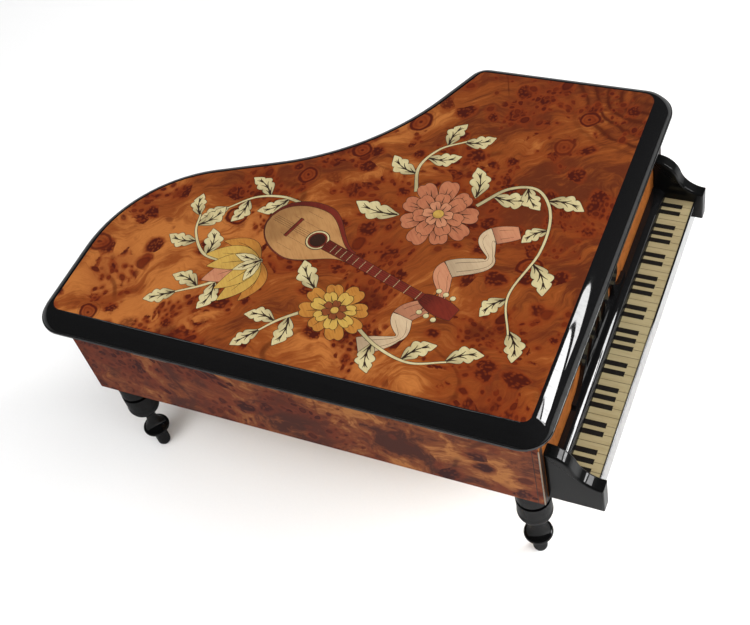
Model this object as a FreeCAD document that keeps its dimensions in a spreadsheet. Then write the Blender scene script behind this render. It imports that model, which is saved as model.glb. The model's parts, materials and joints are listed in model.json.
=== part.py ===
import FreeCAD, Part
import math
import os
import re
import Sketcher

# A grand piano music box: burl veneered case with a hinged lid, a key strip between two
# cheeks, three turned legs, velvet lined compartments and a spring wound comb movement.
# The keyboard faces -Y, the straight bass side is at -X and the feet stand on Z = 0.

doc = FreeCAD.newDocument("piano_music_box")
sheet = doc.addObject("Spreadsheet::Sheet", "sizes")

SIZES = {
    # Plan of the lid's veneer panel: width, length and the corners of its bent side
    "lid_width": 175.0,
    "lid_length": 210.2,
    "treble_length": 79.7,
    "waist_from_bass": 115.6,
    "waist_from_front": 108.4,
    "waist_radius": 114.5,
    "shoulder_from_bass": 74.0,
    "shoulder_radius": 56.0,
    "front_bass_corner": 3.5,
    "front_treble_corner": 5.5,
    "treble_back_corner": 3.5,
    "tail_corner": 5.0,
    # Lid
    "lid_thickness": 7.7,
    "lid_gap": 0.2,
    "panel_thickness": 0.8,
    "panel_drop": 0.08,
    "moulding_width": 7.7,
    "moulding_step": 0.4,
    "moulding_lip_height": 1.5,
    "moulding_bow": 17.0,
    "lining_thickness": 1.2,
    "lining_clearance": 1.5,
    # Case
    "straight_overhang": 3.9,
    "bent_overhang": 14.9,
    "case_height": 41.5,
    "case_veneer_thickness": 0.7,
    "case_corner_round": 1.0,
    "wall_thickness": 4.6,
    "cut_overshoot": 1.0,
    "base_thickness": 4.0,
    # Legs, each from the floor up
    "leg_length": 55.0,
    "leg_inset": 9.05,
    "toe_foot_radius": 1.9,
    "toe_radius": 3.1,
    "toe_round": 2.2,
    "toe_bow_share": 1.4,
    "flange_under_height": 0.4,
    "flange_bottom": 12.1,
    "flange_height": 2.8,
    "flange_radius": 6.2,
    "flange_neck_radius": 5.0,
    "trumpet_top": 25.6,
    "trumpet_radius": 2.7,
    "trumpet_bow_share": 1.15,
    "neck_ring_height": 1.4,
    "neck_ring_radius": 3.3,
    "bowl_side_bottom": 34.6,
    "bowl_top": 42.3,
    "bowl_radius": 7.25,
    "bowl_bow_share": 0.82,
    "groove_height": 1.4,
    "groove_radius": 6.4,
    "collar_radius": 7.0,
    "leg_screw_radius": 1.5,
    "leg_screw_depth": 12.0,
    "leg_screw_reach": 3.4,
    # Keyboard
    "cheek_reach": 25.8,
    "cheek_thickness": 5.8,
    "cheek_from_bass": -0.4,
    "cheek_top": 31.0,
    "cheek_front_height": 14.8,
    "keyboard_margin": 27.2,
    "key_plane": 10.1,
    "key_front_inset": 4.0,
    "key_depth": 12.5,
    "key_sheet_thickness": 1.0,
    "white_key_count": 35.0,
    "black_key_share": 0.58,
    "black_key_length": 8.6,
    "black_key_depth": 0.6,
    "key_line_width": 0.16,
    "key_line_depth": 0.2,
    "keyslip_thickness": 0.8,
    "keyslip_rise": 0.2,
    "fallboard_rise": 5.3,
    "fallboard_round": 3.2,
    # Music desk, measured from its own middle
    "desk_from_bass": 67.0,
    "desk_half_width": 35.0,
    "desk_waist_half_width": 21.0,
    "desk_waist_height": 10.5,
    "desk_shoulder_half_width": 24.5,
    "desk_shoulder_height": 18.0,
    "desk_height": 24.6,
    "desk_foot_height": 2.0,
    "desk_foot_bow": 13.0,
    "desk_shoulder_bow": 7.0,
    "desk_crown_bow": 26.0,
    "desk_thickness": 1.8,
    "inner_slot_offset": 4.0,
    "inner_slot_low": 6.0,
    "inner_slot_high": 20.5,
    "inner_slot_bow": 10.5,
    "outer_slot_low_offset": 18.5,
    "outer_slot_high_offset": 12.0,
    "outer_slot_low": 5.2,
    "outer_slot_high": 17.5,
    "outer_slot_bow": 9.6,
    # Hinges
    "hinge_length": 16.0,
    "hinge_from_front": 30.0,
    "hinge_spacing": 130.0,
    "hinge_pin_radius": 0.6,
    "knuckle_radius": 1.3,
    "knuckle_drop": 1.2,
    "knuckle_reach": 1.7,
    "knuckle_gap": 0.15,
    "leaf_thickness": 0.6,
    "leaf_width": 5.2,
    "leaf_play": 0.05,
    "leaf_sweep": 2.4,
    "leaf_web": 1.2,
    "hinge_screw_spacing": 9.0,
    "hinge_screw_radius": 0.7,
    "hinge_screw_length": 4.2,
    "hinge_screw_inset": 1.6,
    # Compartments
    "partition_thickness": 3.0,
    "partition_height": 29.0,
    "front_row_depth": 53.5,
    "bay_clearance": 2.0,
    "velvet_thickness": 1.0,
    "velvet_height": 33.0,
    "rail_width": 4.4,
    "cover_thickness": 1.8,
    "cover_play": 0.3,
    "cover_screw_radius": 0.9,
    "cover_screw_head_radius": 1.8,
    "cover_screw_head_height": 1.0,
    "cover_screw_depth": 6.0,
    "cover_screw_inset": 2.2,
    # Ring cushion
    "roll_count": 5.0,
    "roll_radius": 5.4,
    "roll_pitch": 9.4,
    "cushion_play": 0.6,
    "cushion_height": 11.0,
    "pad_reach": 3.9,
    "pad_end": 2.7,
    "pad_drop": 1.6,
    # Movement: the bedplate and where it stands in its bay
    "bed_from_treble": 2.5,
    "movement_from_front": 25.5,
    "bed_width": 54.0,
    "bed_depth": 40.0,
    "bed_thickness": 2.4,
    "foot_height": 2.0,
    "foot_radius": 3.0,
    "foot_inset": 4.0,
    "bed_screw_radius": 1.2,
    "bed_screw_head_radius": 2.4,
    "bed_screw_head_height": 1.2,
    # Cylinder line: between the barrel at the bedplate's bass end and the train at its treble end
    "cylinder_back": 2.0,
    "cylinder_rise": 17.45,
    "cylinder_radius": 6.3,
    "cylinder_wall": 0.8,
    "cylinder_inset": 24.0,
    "train_room": 10.2,
    "pin_radius": 0.18,
    "pin_height": 0.45,
    "pins_per_note": 4.0,
    "arbor_radius": 1.0,
    "bearing_play": 0.05,
    "post_gap": 0.5,
    "post_thickness": 1.2,
    "post_half_width": 3.0,
    "post_cap": 2.6,
    # Gears: modules and tooth counts
    "crown_module": 0.4833,
    "crown_teeth": 36.0,
    "crown_pinion_teeth": 9.0,
    "crown_face": 1.6,
    "train_module": 0.4,
    "cylinder_gear_teeth": 32.0,
    "governor_pinion_teeth": 8.0,
    "gear_face": 1.0,
    "worm_module": 0.35,
    "worm_wheel_teeth": 24.0,
    "worm_wheel_face": 1.2,
    "addendum_share": 0.8,
    "dedendum_share": 1.15,
    "tooth_share": 0.38,
    "tooth_root_flare": 1.3,
    "tooth_tip_taper": 0.6,
    "tooth_sink": 0.2,
    # Spring barrel, winding arbor and key
    "barrel_inset": 11.5,
    "barrel_rim": 0.3,
    "barrel_lift": 0.8,
    "barrel_bore_play": 0.05,
    "winding_arbor_radius": 1.5,
    "winding_arbor_drop": 12.0,
    "winding_arbor_head": 1.0,
    "winding_arbor_head_radius": 2.6,
    "arbor_hole_radius": 3.6,
    "key_stem_radius": 2.6,
    "key_stem_length": 11.0,
    "key_stem_tongue": 2.4,
    "key_stem_gap": 1.0,
    "key_wing_radius": 6.5,
    "key_wing_offset": 7.0,
    "key_wing_drop": 5.0,
    "key_wing_thickness": 1.6,
    "key_wing_hole_radius": 2.6,
    # Comb
    "note_count": 18.0,
    "comb_gap": 0.75,
    "comb_thickness": 1.4,
    "comb_tooth_width": 0.7,
    "comb_margin": 2.2,
    "comb_base_depth": 5.5,
    "comb_screw_radius": 1.0,
    "comb_screw_head_radius": 1.9,
    "comb_screw_head_height": 1.2,
    "comb_screw_depth": 4.0,
    # Governor
    "governor_step": 6.4,
    "governor_drop": 4.8,
    "train_inset": 8.1,
    "wheel_inset": 6.0,
    "worm_core_radius": 0.6,
    "worm_clearance": 0.21,
    "worm_length": 6.4,
    "worm_core_end": 0.65,
    "worm_tooth_base": 0.42,
    "worm_tooth_tip": 0.3,
    "brake_shaft_radius": 0.45,
    "brake_cap_radius": 1.1,
    "brake_cap_height": 0.6,
    "fan_radius": 3.7,
    "fan_thickness": 0.25,
    "fan_bottom": 17.9,
    "fan_height": 4.0,
    "bracket_wall": 1.1,
    "bracket_height": 23.6,
    "bracket_front": 18.5,
    "bracket_back": 2.0,
    "bracket_arm_half_width": 2.0,
    "governor_screw_radius": 0.8,
    "governor_screw_head_radius": 1.5,
    "governor_screw_head_height": 0.8,
    # Stop: a lever on a post over the air brake, and the rod that the lid presses
    "lever_length": 16.0,
    "lever_half_width": 1.2,
    "lever_thickness": 0.8,
    "lever_lift": 0.15,
    "lever_pin_radius": 0.6,
    "lever_post_thickness": 1.6,
    "lever_post_half_width": 1.4,
    "rod_from_pivot": 12.0,
    "rod_radius": 1.0,
    "rod_gap": 0.15,
    "rod_collar_radius": 1.8,
    "rod_collar_height": 1.0,
    "bush_radius": 2.0,
    "bush_flange_radius": 3.0,
    "bush_flange_height": 0.8,
    "bush_play": 0.06,
}

for row, (alias, value) in enumerate(SIZES.items(), start=1):
    sheet.set(f"A{row}", alias)
    sheet.set(f"B{row}", str(value))
    sheet.setAlias(f"B{row}", alias)
doc.recompute()

# Shared places, worked out from the sheet. Each is an expression in the sheet's own words.
BASS_EDGE = "(-lid_width / 2)"
FRONT_EDGE = "((cheek_reach - lid_length - moulding_width) / 2)"
CASE_BASS = f"({BASS_EDGE} - moulding_width + straight_overhang)"
CASE_FRONT = f"({FRONT_EDGE} - moulding_width + straight_overhang)"
CASE_TREBLE = f"({BASS_EDGE} + lid_width + moulding_width - bent_overhang)"
CASE_TAIL = f"({FRONT_EDGE} + lid_length + moulding_width - bent_overhang)"
WALL_BASS = f"({CASE_BASS} + case_veneer_thickness)"
WALL_FRONT = f"({CASE_FRONT} + case_veneer_thickness)"
WALL_TREBLE = f"({CASE_TREBLE} - case_veneer_thickness)"
WALL_TAIL = f"({CASE_TAIL} - case_veneer_thickness)"
ROOM_BASS = f"({WALL_BASS} + wall_thickness)"
ROOM_FRONT = f"({WALL_FRONT} + wall_thickness)"
ROOM_TREBLE = f"({WALL_TREBLE} - wall_thickness)"
ROOM_TAIL = f"({WALL_TAIL} - wall_thickness)"
CASE_BOTTOM = "leg_length"
FLOOR_TOP = "(leg_length + base_thickness)"
RIM_TOP = "(leg_length + case_height)"
LID_BOTTOM = f"({RIM_TOP} + lid_gap)"
LID_TOP = f"({LID_BOTTOM} + lid_thickness)"
LINING_BOTTOM = f"({LID_BOTTOM} - lining_thickness)"
PARTITION_TOP = f"({FLOOR_TOP} + partition_height)"
ROW_BACK = f"({ROOM_FRONT} + front_row_depth)"

CHEEK_BASS = f"({BASS_EDGE} + cheek_from_bass)"
KEYS_BASS = f"({CHEEK_BASS} + cheek_thickness)"
KEYBOARD_WIDTH = "(lid_width - keyboard_margin)"
KEYS_TREBLE = f"({KEYS_BASS} + {KEYBOARD_WIDTH})"
CHEEK_FRONT = f"({FRONT_EDGE} - cheek_reach)"
KEYS_FRONT = f"({CHEEK_FRONT} + key_front_inset)"
KEYS_BACK = f"({KEYS_FRONT} + key_depth)"
KEY_TOP = "(leg_length + key_plane)"
KEYBED_TOP = f"({KEY_TOP} - key_sheet_thickness)"
FALLBOARD_TOP = f"({KEY_TOP} + fallboard_rise)"

HINGE_X = f"({CASE_BASS} - knuckle_reach)"
HINGE_Z = f"({RIM_TOP} - knuckle_drop)"

BED_TREBLE = f"({ROOM_TREBLE} - bed_from_treble)"
BED_BASS = f"({BED_TREBLE} - bed_width)"
BED_X = f"({BED_TREBLE} - bed_width / 2)"
BAY_BASS = f"({BED_BASS} - bay_clearance)"
BED_Y = f"({ROOM_FRONT} + movement_from_front)"
BED_TOP = f"({FLOOR_TOP} + foot_height + bed_thickness)"
CYLINDER_Y = f"({BED_Y} - cylinder_back)"
CYLINDER_Z = f"({FLOOR_TOP} + cylinder_rise)"
CYLINDER_X = f"({BED_BASS} + cylinder_inset)"
CYLINDER_LENGTH = "(bed_width - cylinder_inset - train_room)"
BARREL_X = f"({BED_BASS} + barrel_inset)"
CROWN_RADIUS = "(crown_module * crown_teeth / 2)"
CROWN_PINION_RADIUS = "(crown_module * crown_pinion_teeth / 2)"
CROWN_Z = f"({CYLINDER_Z} - {CROWN_PINION_RADIUS})"
GOVERNOR_Y = f"({CYLINDER_Y} - governor_step)"
GOVERNOR_Z = f"({CYLINDER_Z} - governor_drop)"
TRAIN_X = f"({BED_TREBLE} - train_inset)"
WHEEL_X = f"({BED_TREBLE} - wheel_inset)"
WORM_WHEEL_RADIUS = "(worm_module * worm_wheel_teeth / 2)"
WORM_RADIUS = "(worm_core_radius + worm_module * addendum_share + worm_clearance)"
BRAKE_X = f"({WHEEL_X} + worm_wheel_face / 2)"
BRAKE_Y = f"({GOVERNOR_Y} - {WORM_WHEEL_RADIUS} - {WORM_RADIUS})"
BRAKE_TOP = f"({FLOOR_TOP} + bracket_height)"
LEVER_Z = f"({BRAKE_TOP} + brake_cap_height + lever_lift)"
LEVER_PIVOT_X = f"({BRAKE_X} - lever_length)"
ROD_X = f"({LEVER_PIVOT_X} + rod_from_pivot)"


def on_sheet(text):
    """The expression with the sheet's name put before each of its words."""
    def full_name(word):
        return "sizes." + word.group(0) if word.group(0) in SIZES else word.group(0)

    return re.sub(r"[a-z_]{4,}", full_name, str(text))


def size(text):
    """The present value of an expression."""
    value = sheet.evalExpression(on_sheet(text))
    return float(getattr(value, "Value", value))


def bind(thing, **properties):
    """Ties properties to expressions; a double underscore stands for a dot."""
    for name, text in properties.items():
        thing.setExpression(name.replace("__", "."), on_sheet(text))
    return thing


def place(thing, x="0", y="0", z="0", axis=None, turn=0.0):
    """Puts a thing at a bound place, turned about a fixed axis."""
    if axis is not None:
        thing.Placement = FreeCAD.Placement(FreeCAD.Vector(), FreeCAD.Rotation(FreeCAD.Vector(*axis), turn))
    return bind(thing, Placement__Base__x=x, Placement__Base__y=y, Placement__Base__z=z)


def block(name, x, y, z):
    """A box between two bound places along each axis; each of x, y and z is (low, high)."""
    box = doc.addObject("Part::Box", name)
    bind(box, Length=f"{x[1]} - {x[0]}", Width=f"{y[1]} - {y[0]}", Height=f"{z[1]} - {z[0]}")
    return place(box, x[0], y[0], z[0])


TURNS = {"X": ((0, 1, 0), 90.0), "Y": ((1, 0, 0), -90.0), "Z": (None, 0.0)}


def rod(name, x, y, z, radius, length, along="Z"):
    """A round bar from a bound place, along a row axis."""
    bar = doc.addObject("Part::Cylinder", name)
    bind(bar, Radius=radius, Height=length)
    axis, turn = TURNS[along]
    return place(bar, x, y, z, axis, turn)


def fuse(name, *shapes):
    joined = doc.addObject("Part::MultiFuse", name)
    joined.Shapes = list(shapes)
    joined.Refine = True
    return joined


def group(name, shapes):
    together = doc.addObject("Part::Compound", name)
    together.Links = list(shapes)
    return together


def cut(name, base, *tools):
    remainder = doc.addObject("Part::Cut", name)
    remainder.Base = base
    remainder.Tool = tools[0] if len(tools) == 1 else group(name + "_tools", tools)
    return remainder


def common(name, first, second):
    shared = doc.addObject("Part::Common", name)
    shared.Base = first
    shared.Tool = second
    return shared


def shaped(name, shape):
    """A feature whose shape comes from Part's own functions."""
    feature = doc.addObject("Part::Feature", name)
    feature.Shape = shape
    return feature


NODES = []


def node(thing, label):
    """Marks a finished piece, under the name that its file gets."""
    thing.Label = label
    NODES.append(thing)
    return thing


def plane_of(body, role):
    return next(feature for feature in body.Origin.OriginFeatures if feature.Role == role)


def arc_between(start, end, radius, left):
    """An arc from start to end whose centre lies to the left or right of the way it goes."""
    chord = end - start
    side = FreeCAD.Vector(-chord.y, chord.x, 0).normalize() * (1 if left else -1)
    drop = math.sqrt(max(radius ** 2 - (chord.Length / 2) ** 2, 0.0))
    centre = (start + end) * 0.5 + side * drop
    first = math.atan2(start.y - centre.y, start.x - centre.x)
    last = math.atan2(end.y - centre.y, end.x - centre.x)
    if not left:
        first, last = last, first
    if last < first:
        last += 2 * math.pi
    return Part.ArcOfCircle(Part.Circle(centre, FreeCAD.Vector(0, 0, 1), radius), first, last)


def outline(sketch, corners, bows=None):
    """Draws a closed outline. Each corner is a pair of expressions, and bows gives the sides
    that are arcs as {side: (radius, left)}: every corner and radius is a bound dimension."""
    bows = bows or {}
    points = [FreeCAD.Vector(size(x), size(y), 0) for x, y in corners]
    ends = []
    for side, start in enumerate(points):
        end = points[(side + 1) % len(points)]
        if side in bows:
            radius, left = bows[side]
            geometry = sketch.addGeometry(arc_between(start, end, size(radius), left), False)
            ends.append((geometry, 1 if left else 2, 2 if left else 1))
            mark = sketch.addConstraint(Sketcher.Constraint("Radius", geometry, size(radius)))
            sketch.setExpression(f"Constraints[{mark}]", on_sheet(radius))
        else:
            geometry = sketch.addGeometry(Part.LineSegment(start, end), False)
            ends.append((geometry, 1, 2))
    for side, (geometry, first, last) in enumerate(ends):
        following, begin, finish = ends[(side + 1) % len(ends)]
        sketch.addConstraint(Sketcher.Constraint("Coincident", geometry, last, following, begin))
        for kind, axis, text in (("DistanceX", -2, corners[side][0]), ("DistanceY", -1, corners[side][1])):
            if text == "0":
                sketch.addConstraint(Sketcher.Constraint("PointOnObject", geometry, first, axis))
                continue
            mark = sketch.addConstraint(Sketcher.Constraint(kind, -1, 1, geometry, first, size(text)))
            sketch.setExpression(f"Constraints[{mark}]", on_sheet(text))


def sketch_on(body, name, role):
    sketch = body.newObject("Sketcher::SketchObject", name)
    sketch.AttachmentSupport = [(plane_of(body, role), "")]
    sketch.MapMode = "FlatFace"
    return sketch


def padded_body(name, role, outlines, length, reverse=False):
    """A body padded from one sketch of closed outlines."""
    body = doc.addObject("PartDesign::Body", name)
    sketch = sketch_on(body, name + "_sketch", role)
    for corners, bows in outlines:
        outline(sketch, corners, bows)
    pad = body.newObject("PartDesign::Pad", name + "_pad")
    pad.Profile = sketch
    pad.Reversed = reverse
    bind(pad, Length=length)
    return body


def turned_body(name, corners, bows=None):
    """A body turned about its own Z axis from a half profile of radius and height."""
    body = doc.addObject("PartDesign::Body", name)
    sketch = sketch_on(body, name + "_sketch", "XZ_Plane")
    outline(sketch, corners, bows)
    turn = body.newObject("PartDesign::Revolution", name + "_turn")
    turn.Profile = sketch
    turn.ReferenceAxis = (sketch, ["V_Axis"])
    turn.Angle = 360.0
    return body


# The plan of the piano: a board with six corners, two of them the great round shoulder and
# the hollow waist of the bent side. The case has the lid's plan, drawn in from its edges.

def rounded_face(points, radii):
    """A flat face with a tangent arc at each corner that has a radius."""
    count = len(points)
    stretches = []
    for index, corner in enumerate(points):
        before = (points[index - 1] - corner).normalize()
        after = (points[(index + 1) % count] - corner).normalize()
        radius = radii[index]
        if radius <= 0:
            stretches.append((corner, None, corner))
            continue
        half = before.getAngle(after) / 2
        reach = radius / math.tan(half)
        middle = corner + (before + after).normalize() * (radius / math.sin(half) - radius)
        stretches.append((corner + before * reach, middle, corner + after * reach))
    edges = []
    for index, (start, middle, end) in enumerate(stretches):
        if middle is not None:
            edges.append(Part.Arc(start, middle, end).toShape())
        following = stretches[(index + 1) % count][0]
        if (following - end).Length > 1e-6:
            edges.append(Part.LineSegment(end, following).toShape())
    return Part.Face(Part.Wire(edges))


def plan_face(outset, drawn_in=0.0, corner_radius=None):
    """The plan with every side moved out by outset and the whole moved by drawn_in towards
    the bass front corner. Arcs keep their centres, so that walls have one thickness. The
    four sharper corners have the panel's own radii, or the one that is given."""
    width, length = size("lid_width"), size("lid_length")
    points = [(0, 0), (width, 0), (width, size("treble_length")),
              (size("waist_from_bass"), size("waist_from_front")),
              (size("shoulder_from_bass"), length), (0, length)]
    left, front = size(BASS_EDGE) - drawn_in, size(FRONT_EDGE) - drawn_in
    corners = [FreeCAD.Vector(x + left, y + front, 0) for x, y in points]
    moved = []
    for index, corner in enumerate(corners):
        arriving = (corner - corners[index - 1]).normalize()
        leaving = (corners[(index + 1) % len(corners)] - corner).normalize()
        first = FreeCAD.Vector(arriving.y, -arriving.x, 0)
        second = FreeCAD.Vector(leaving.y, -leaving.x, 0)
        moved.append(corner + (first + second) * (outset / (1 + first.dot(second))))
    small = [size(name) + outset for name in
             ("front_bass_corner", "front_treble_corner", "treble_back_corner", "tail_corner")]
    if corner_radius is not None:
        small = [corner_radius] * len(small)
    radii = small[:3] + [size("waist_radius") - outset, size("shoulder_radius") + outset] + small[3:]
    return rounded_face(moved, radii)


def plan_board(outset, bottom, top, drawn_in=0.0, corner_radius=None):
    """A solid board of the plan between two heights."""
    board = plan_face(outset, drawn_in, corner_radius).extrude(FreeCAD.Vector(0, 0, size(top) - size(bottom)))
    board.translate(FreeCAD.Vector(0, 0, size(bottom)))
    return board


DRAWN_IN = "(bent_overhang - straight_overhang) / 2"
CASE_OUTSET = "moulding_width - (bent_overhang + straight_overhang) / 2"


def case_board(inset, bottom, top, corner_radius=0.0):
    """A board of the case's plan, its sides moved in by inset."""
    return plan_board(size(CASE_OUTSET) - inset, bottom, top, size(DRAWN_IN), corner_radius)


# Hinge cuts in the wood, shared by the lid and the rim

def hinge_starts():
    """Where each hinge begins along the bass side."""
    return [f"({FRONT_EDGE} + hinge_from_front - hinge_length / 2)",
            f"({FRONT_EDGE} + hinge_from_front + hinge_spacing - hinge_length / 2)"]


def leaf_bays(name, low, high, reach):
    """The pockets that the leaves lie in, a little longer than the leaves."""
    return [block(f"{name}_{count}",
                  (f"({HINGE_X} - {reach})", f"({WALL_BASS} + leaf_width - leaf_thickness)"),
                  (f"({start} - leaf_play)", f"({start} + hinge_length + leaf_play)"), (low, high))
            for count, start in enumerate(hinge_starts())]


def hinge_screw_places():
    """The along-side places of the screws, two for each hinge."""
    return [f"({start} + hinge_length / 2 + {side} * hinge_screw_spacing / 2)"
            for start in hinge_starts() for side in (-1, 1)]


HINGE_SCREW_X = f"({WALL_BASS} + hinge_screw_inset)"
CASE_LEAF_TOP = f"({RIM_TOP} - leaf_play)"
CASE_LEAF_BOTTOM = f"({CASE_LEAF_TOP} - leaf_thickness)"
LID_LEAF_BOTTOM = f"({LID_BOTTOM} + leaf_play)"
LID_LEAF_TOP = f"({LID_LEAF_BOTTOM} + leaf_thickness)"


def hinge_screws(name, low, high):
    """Shanks between two heights at every hinge screw's place."""
    return [rod(f"{name}_{count}", HINGE_SCREW_X, y, low, "hinge_screw_radius", f"{high} - {low}")
            for count, y in enumerate(hinge_screw_places())]


def moulding_profile():
    """The moulding's section as corners of (outward, height) from the panel's edge, and the
    middle of its bowed slope: the slope falls from the edge to a small upright lip."""
    width, step, lip = size("moulding_width"), size("moulding_step"), size("moulding_lip_height")
    depth = size("lid_thickness")
    crest, heel = (0.0, 0.0), (width - step, lip - depth)
    corners = [crest, heel, (width, lip - depth), (width, -depth), (0.0, -depth)]
    length = math.hypot(*heel)
    bow = size("moulding_bow")
    rise = bow - math.sqrt(bow ** 2 - (length / 2) ** 2)
    return corners, (heel[0] / 2 - heel[1] / length * rise, heel[1] / 2 + heel[0] / length * rise)


def moulding_ring():
    """The moulding's section drawn along the straight sides of the panel and turned about the
    centres of its round ones."""
    corners, bulge = moulding_profile()
    top = size(LID_TOP)
    stretches = []
    for edge in plan_face(0.0).OuterWire.OrderedEdges:
        ends = [edge.firstVertex(True).Point, edge.lastVertex(True).Point]
        start = ends[0]
        along = edge.tangentAt(edge.FirstParameter)
        if edge.Orientation == "Reversed":
            along = edge.tangentAt(edge.LastParameter) * -1
        outward = FreeCAD.Vector(along.y, -along.x, 0)
        points = [start + outward * out + FreeCAD.Vector(0, 0, top + height)
                  for out, height in corners + [bulge]]
        slope = Part.Arc(points[0], points[5], points[1]).toShape()
        rest = [Part.LineSegment(points[mark], points[(mark + 1) % 5]).toShape() for mark in range(1, 5)]
        section = Part.Face(Part.Wire([slope] + rest))
        if isinstance(edge.Curve, Part.Line):
            stretches.append(section.extrude(ends[1] - start))
            continue
        centre = edge.Curve.Center
        turn = math.degrees((edge.LastParameter - edge.FirstParameter))
        way = 1 if (start - centre).cross(along).z > 0 else -1
        stretches.append(section.revolve(centre, FreeCAD.Vector(0, 0, way), turn))
    return stretches[0].fuse(stretches[1:]).removeSplitter()


def make_lid():
    """Lid board, moulding, veneer panel a hair below the moulding's edge, and velvet lining."""
    ring = shaped("moulding_ring", moulding_ring())
    pockets = leaf_bays("lid_leaf_bay", LID_BOTTOM, LID_LEAF_TOP, "leaf_web")
    holes = hinge_screws("lid_screw_hole", LID_BOTTOM, f"({LID_LEAF_TOP} + hinge_screw_length)")
    node(cut("lid_moulding", ring, *pockets, *holes), "lid_moulding")
    panel_bottom = f"({LID_TOP} - panel_thickness)"
    core = shaped("lid_core", plan_board(0.0, LID_BOTTOM, panel_bottom))
    bays = leaf_bays("board_leaf_bay", LID_BOTTOM, LID_LEAF_TOP, "leaf_web")
    node(cut("lid_board", core, *bays), "lid_board")
    node(shaped("lid_veneer", plan_board(0.0, panel_bottom, f"({LID_TOP} - panel_drop)")), "lid_veneer")
    inset = size("case_veneer_thickness + wall_thickness + lining_clearance")
    node(shaped("lid_lining", case_board(inset, LINING_BOTTOM, LID_BOTTOM)), "lid_lining")


def make_hinges():
    """Two cranked butt hinges: the knuckle lies outside the rim, under the lid's overhang."""
    case_leaves, lid_leaves, pins = [], [], []
    third = "(hinge_length / 3)"
    leaf_end = f"({WALL_BASS} + leaf_width - leaf_thickness)"
    for count, start in enumerate(hinge_starts()):
        first_end = f"({start} + {third} - knuckle_gap)"
        middle_start, middle_end = f"({start} + {third})", f"({start} + 2 * {third})"
        last_start, last_end = f"({start} + 2 * {third} + knuckle_gap)", f"({start} + hinge_length)"
        level = (CASE_LEAF_BOTTOM, CASE_LEAF_TOP)
        leaf_start = f"({HINGE_X} + leaf_sweep)"
        pieces = [block(f"case_leaf_{count}", (leaf_start, leaf_end), (start, last_end), level)]
        for part, (low, high) in enumerate(((start, first_end), (last_start, last_end))):
            pieces.append(block(f"case_tab_{count}{part}", (HINGE_X, leaf_start), (low, high), level))
            pieces.append(rod(f"case_knuckle_{count}{part}", HINGE_X, low, HINGE_Z, "knuckle_radius",
                              f"{high} - {low}", "Y"))
        bore = rod(f"case_bore_{count}", HINGE_X, start, HINGE_Z, "hinge_pin_radius", "hinge_length", "Y")
        screws = [rod(f"case_leaf_hole_{count}{part}", HINGE_SCREW_X, y, CASE_LEAF_BOTTOM,
                      "hinge_screw_radius", "leaf_thickness")
                  for part, y in enumerate(hinge_screw_places()[2 * count:2 * count + 2])]
        case_leaves.append(cut(f"case_leaf_cut_{count}", fuse(f"case_leaf_body_{count}", *pieces),
                               bore, *screws))
        plate = block(f"lid_leaf_{count}", (f"({HINGE_X} - leaf_web / 2)", leaf_end), (start, last_end),
                      (LID_LEAF_BOTTOM, LID_LEAF_TOP))
        web = block(f"lid_web_{count}", (f"({HINGE_X} - leaf_web / 2)", f"({HINGE_X} + leaf_web / 2)"),
                    (middle_start, middle_end), (HINGE_Z, LID_LEAF_TOP))
        knuckle = rod(f"lid_knuckle_{count}", HINGE_X, middle_start, HINGE_Z, "knuckle_radius", third, "Y")
        bore = rod(f"lid_bore_{count}", HINGE_X, start, HINGE_Z, "hinge_pin_radius + bearing_play",
                   "hinge_length", "Y")
        screws = [rod(f"lid_leaf_hole_{count}{part}", HINGE_SCREW_X, y, LID_LEAF_BOTTOM,
                      "hinge_screw_radius", "leaf_thickness")
                  for part, y in enumerate(hinge_screw_places()[2 * count:2 * count + 2])]
        lid_leaves.append(cut(f"lid_leaf_cut_{count}", fuse(f"lid_leaf_body_{count}", plate, web, knuckle),
                              bore, *screws))
        pins.append(rod(f"hinge_pin_{count}", HINGE_X, start, HINGE_Z, "hinge_pin_radius",
                        "hinge_length", "Y"))
    node(group("hinge_case_leaves", case_leaves), "hinge_case_leaves")
    node(group("hinge_lid_leaves", lid_leaves), "hinge_lid_leaves")
    node(group("hinge_pins", pins), "hinge_pins")
    case_screws = hinge_screws("case_screw", f"({CASE_LEAF_BOTTOM} - hinge_screw_length)", CASE_LEAF_TOP)
    lid_screws = hinge_screws("lid_screw", LID_LEAF_BOTTOM, f"({LID_LEAF_TOP} + hinge_screw_length)")
    node(group("hinge_case_screws", case_screws), "hinge_case_screws")
    node(group("hinge_lid_screws", lid_screws), "hinge_lid_screws")


def leg_places():
    """Leg name, and the bound place of its axis."""
    low_x, low_y = f"({CASE_BASS} + leg_inset)", f"({CASE_FRONT} + leg_inset)"
    return {"front_bass_leg": (low_x, low_y),
            "front_treble_leg": (f"({CASE_TREBLE} - leg_inset)", low_y),
            "tail_leg": (low_x, f"({CASE_TAIL} - leg_inset)")}


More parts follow.
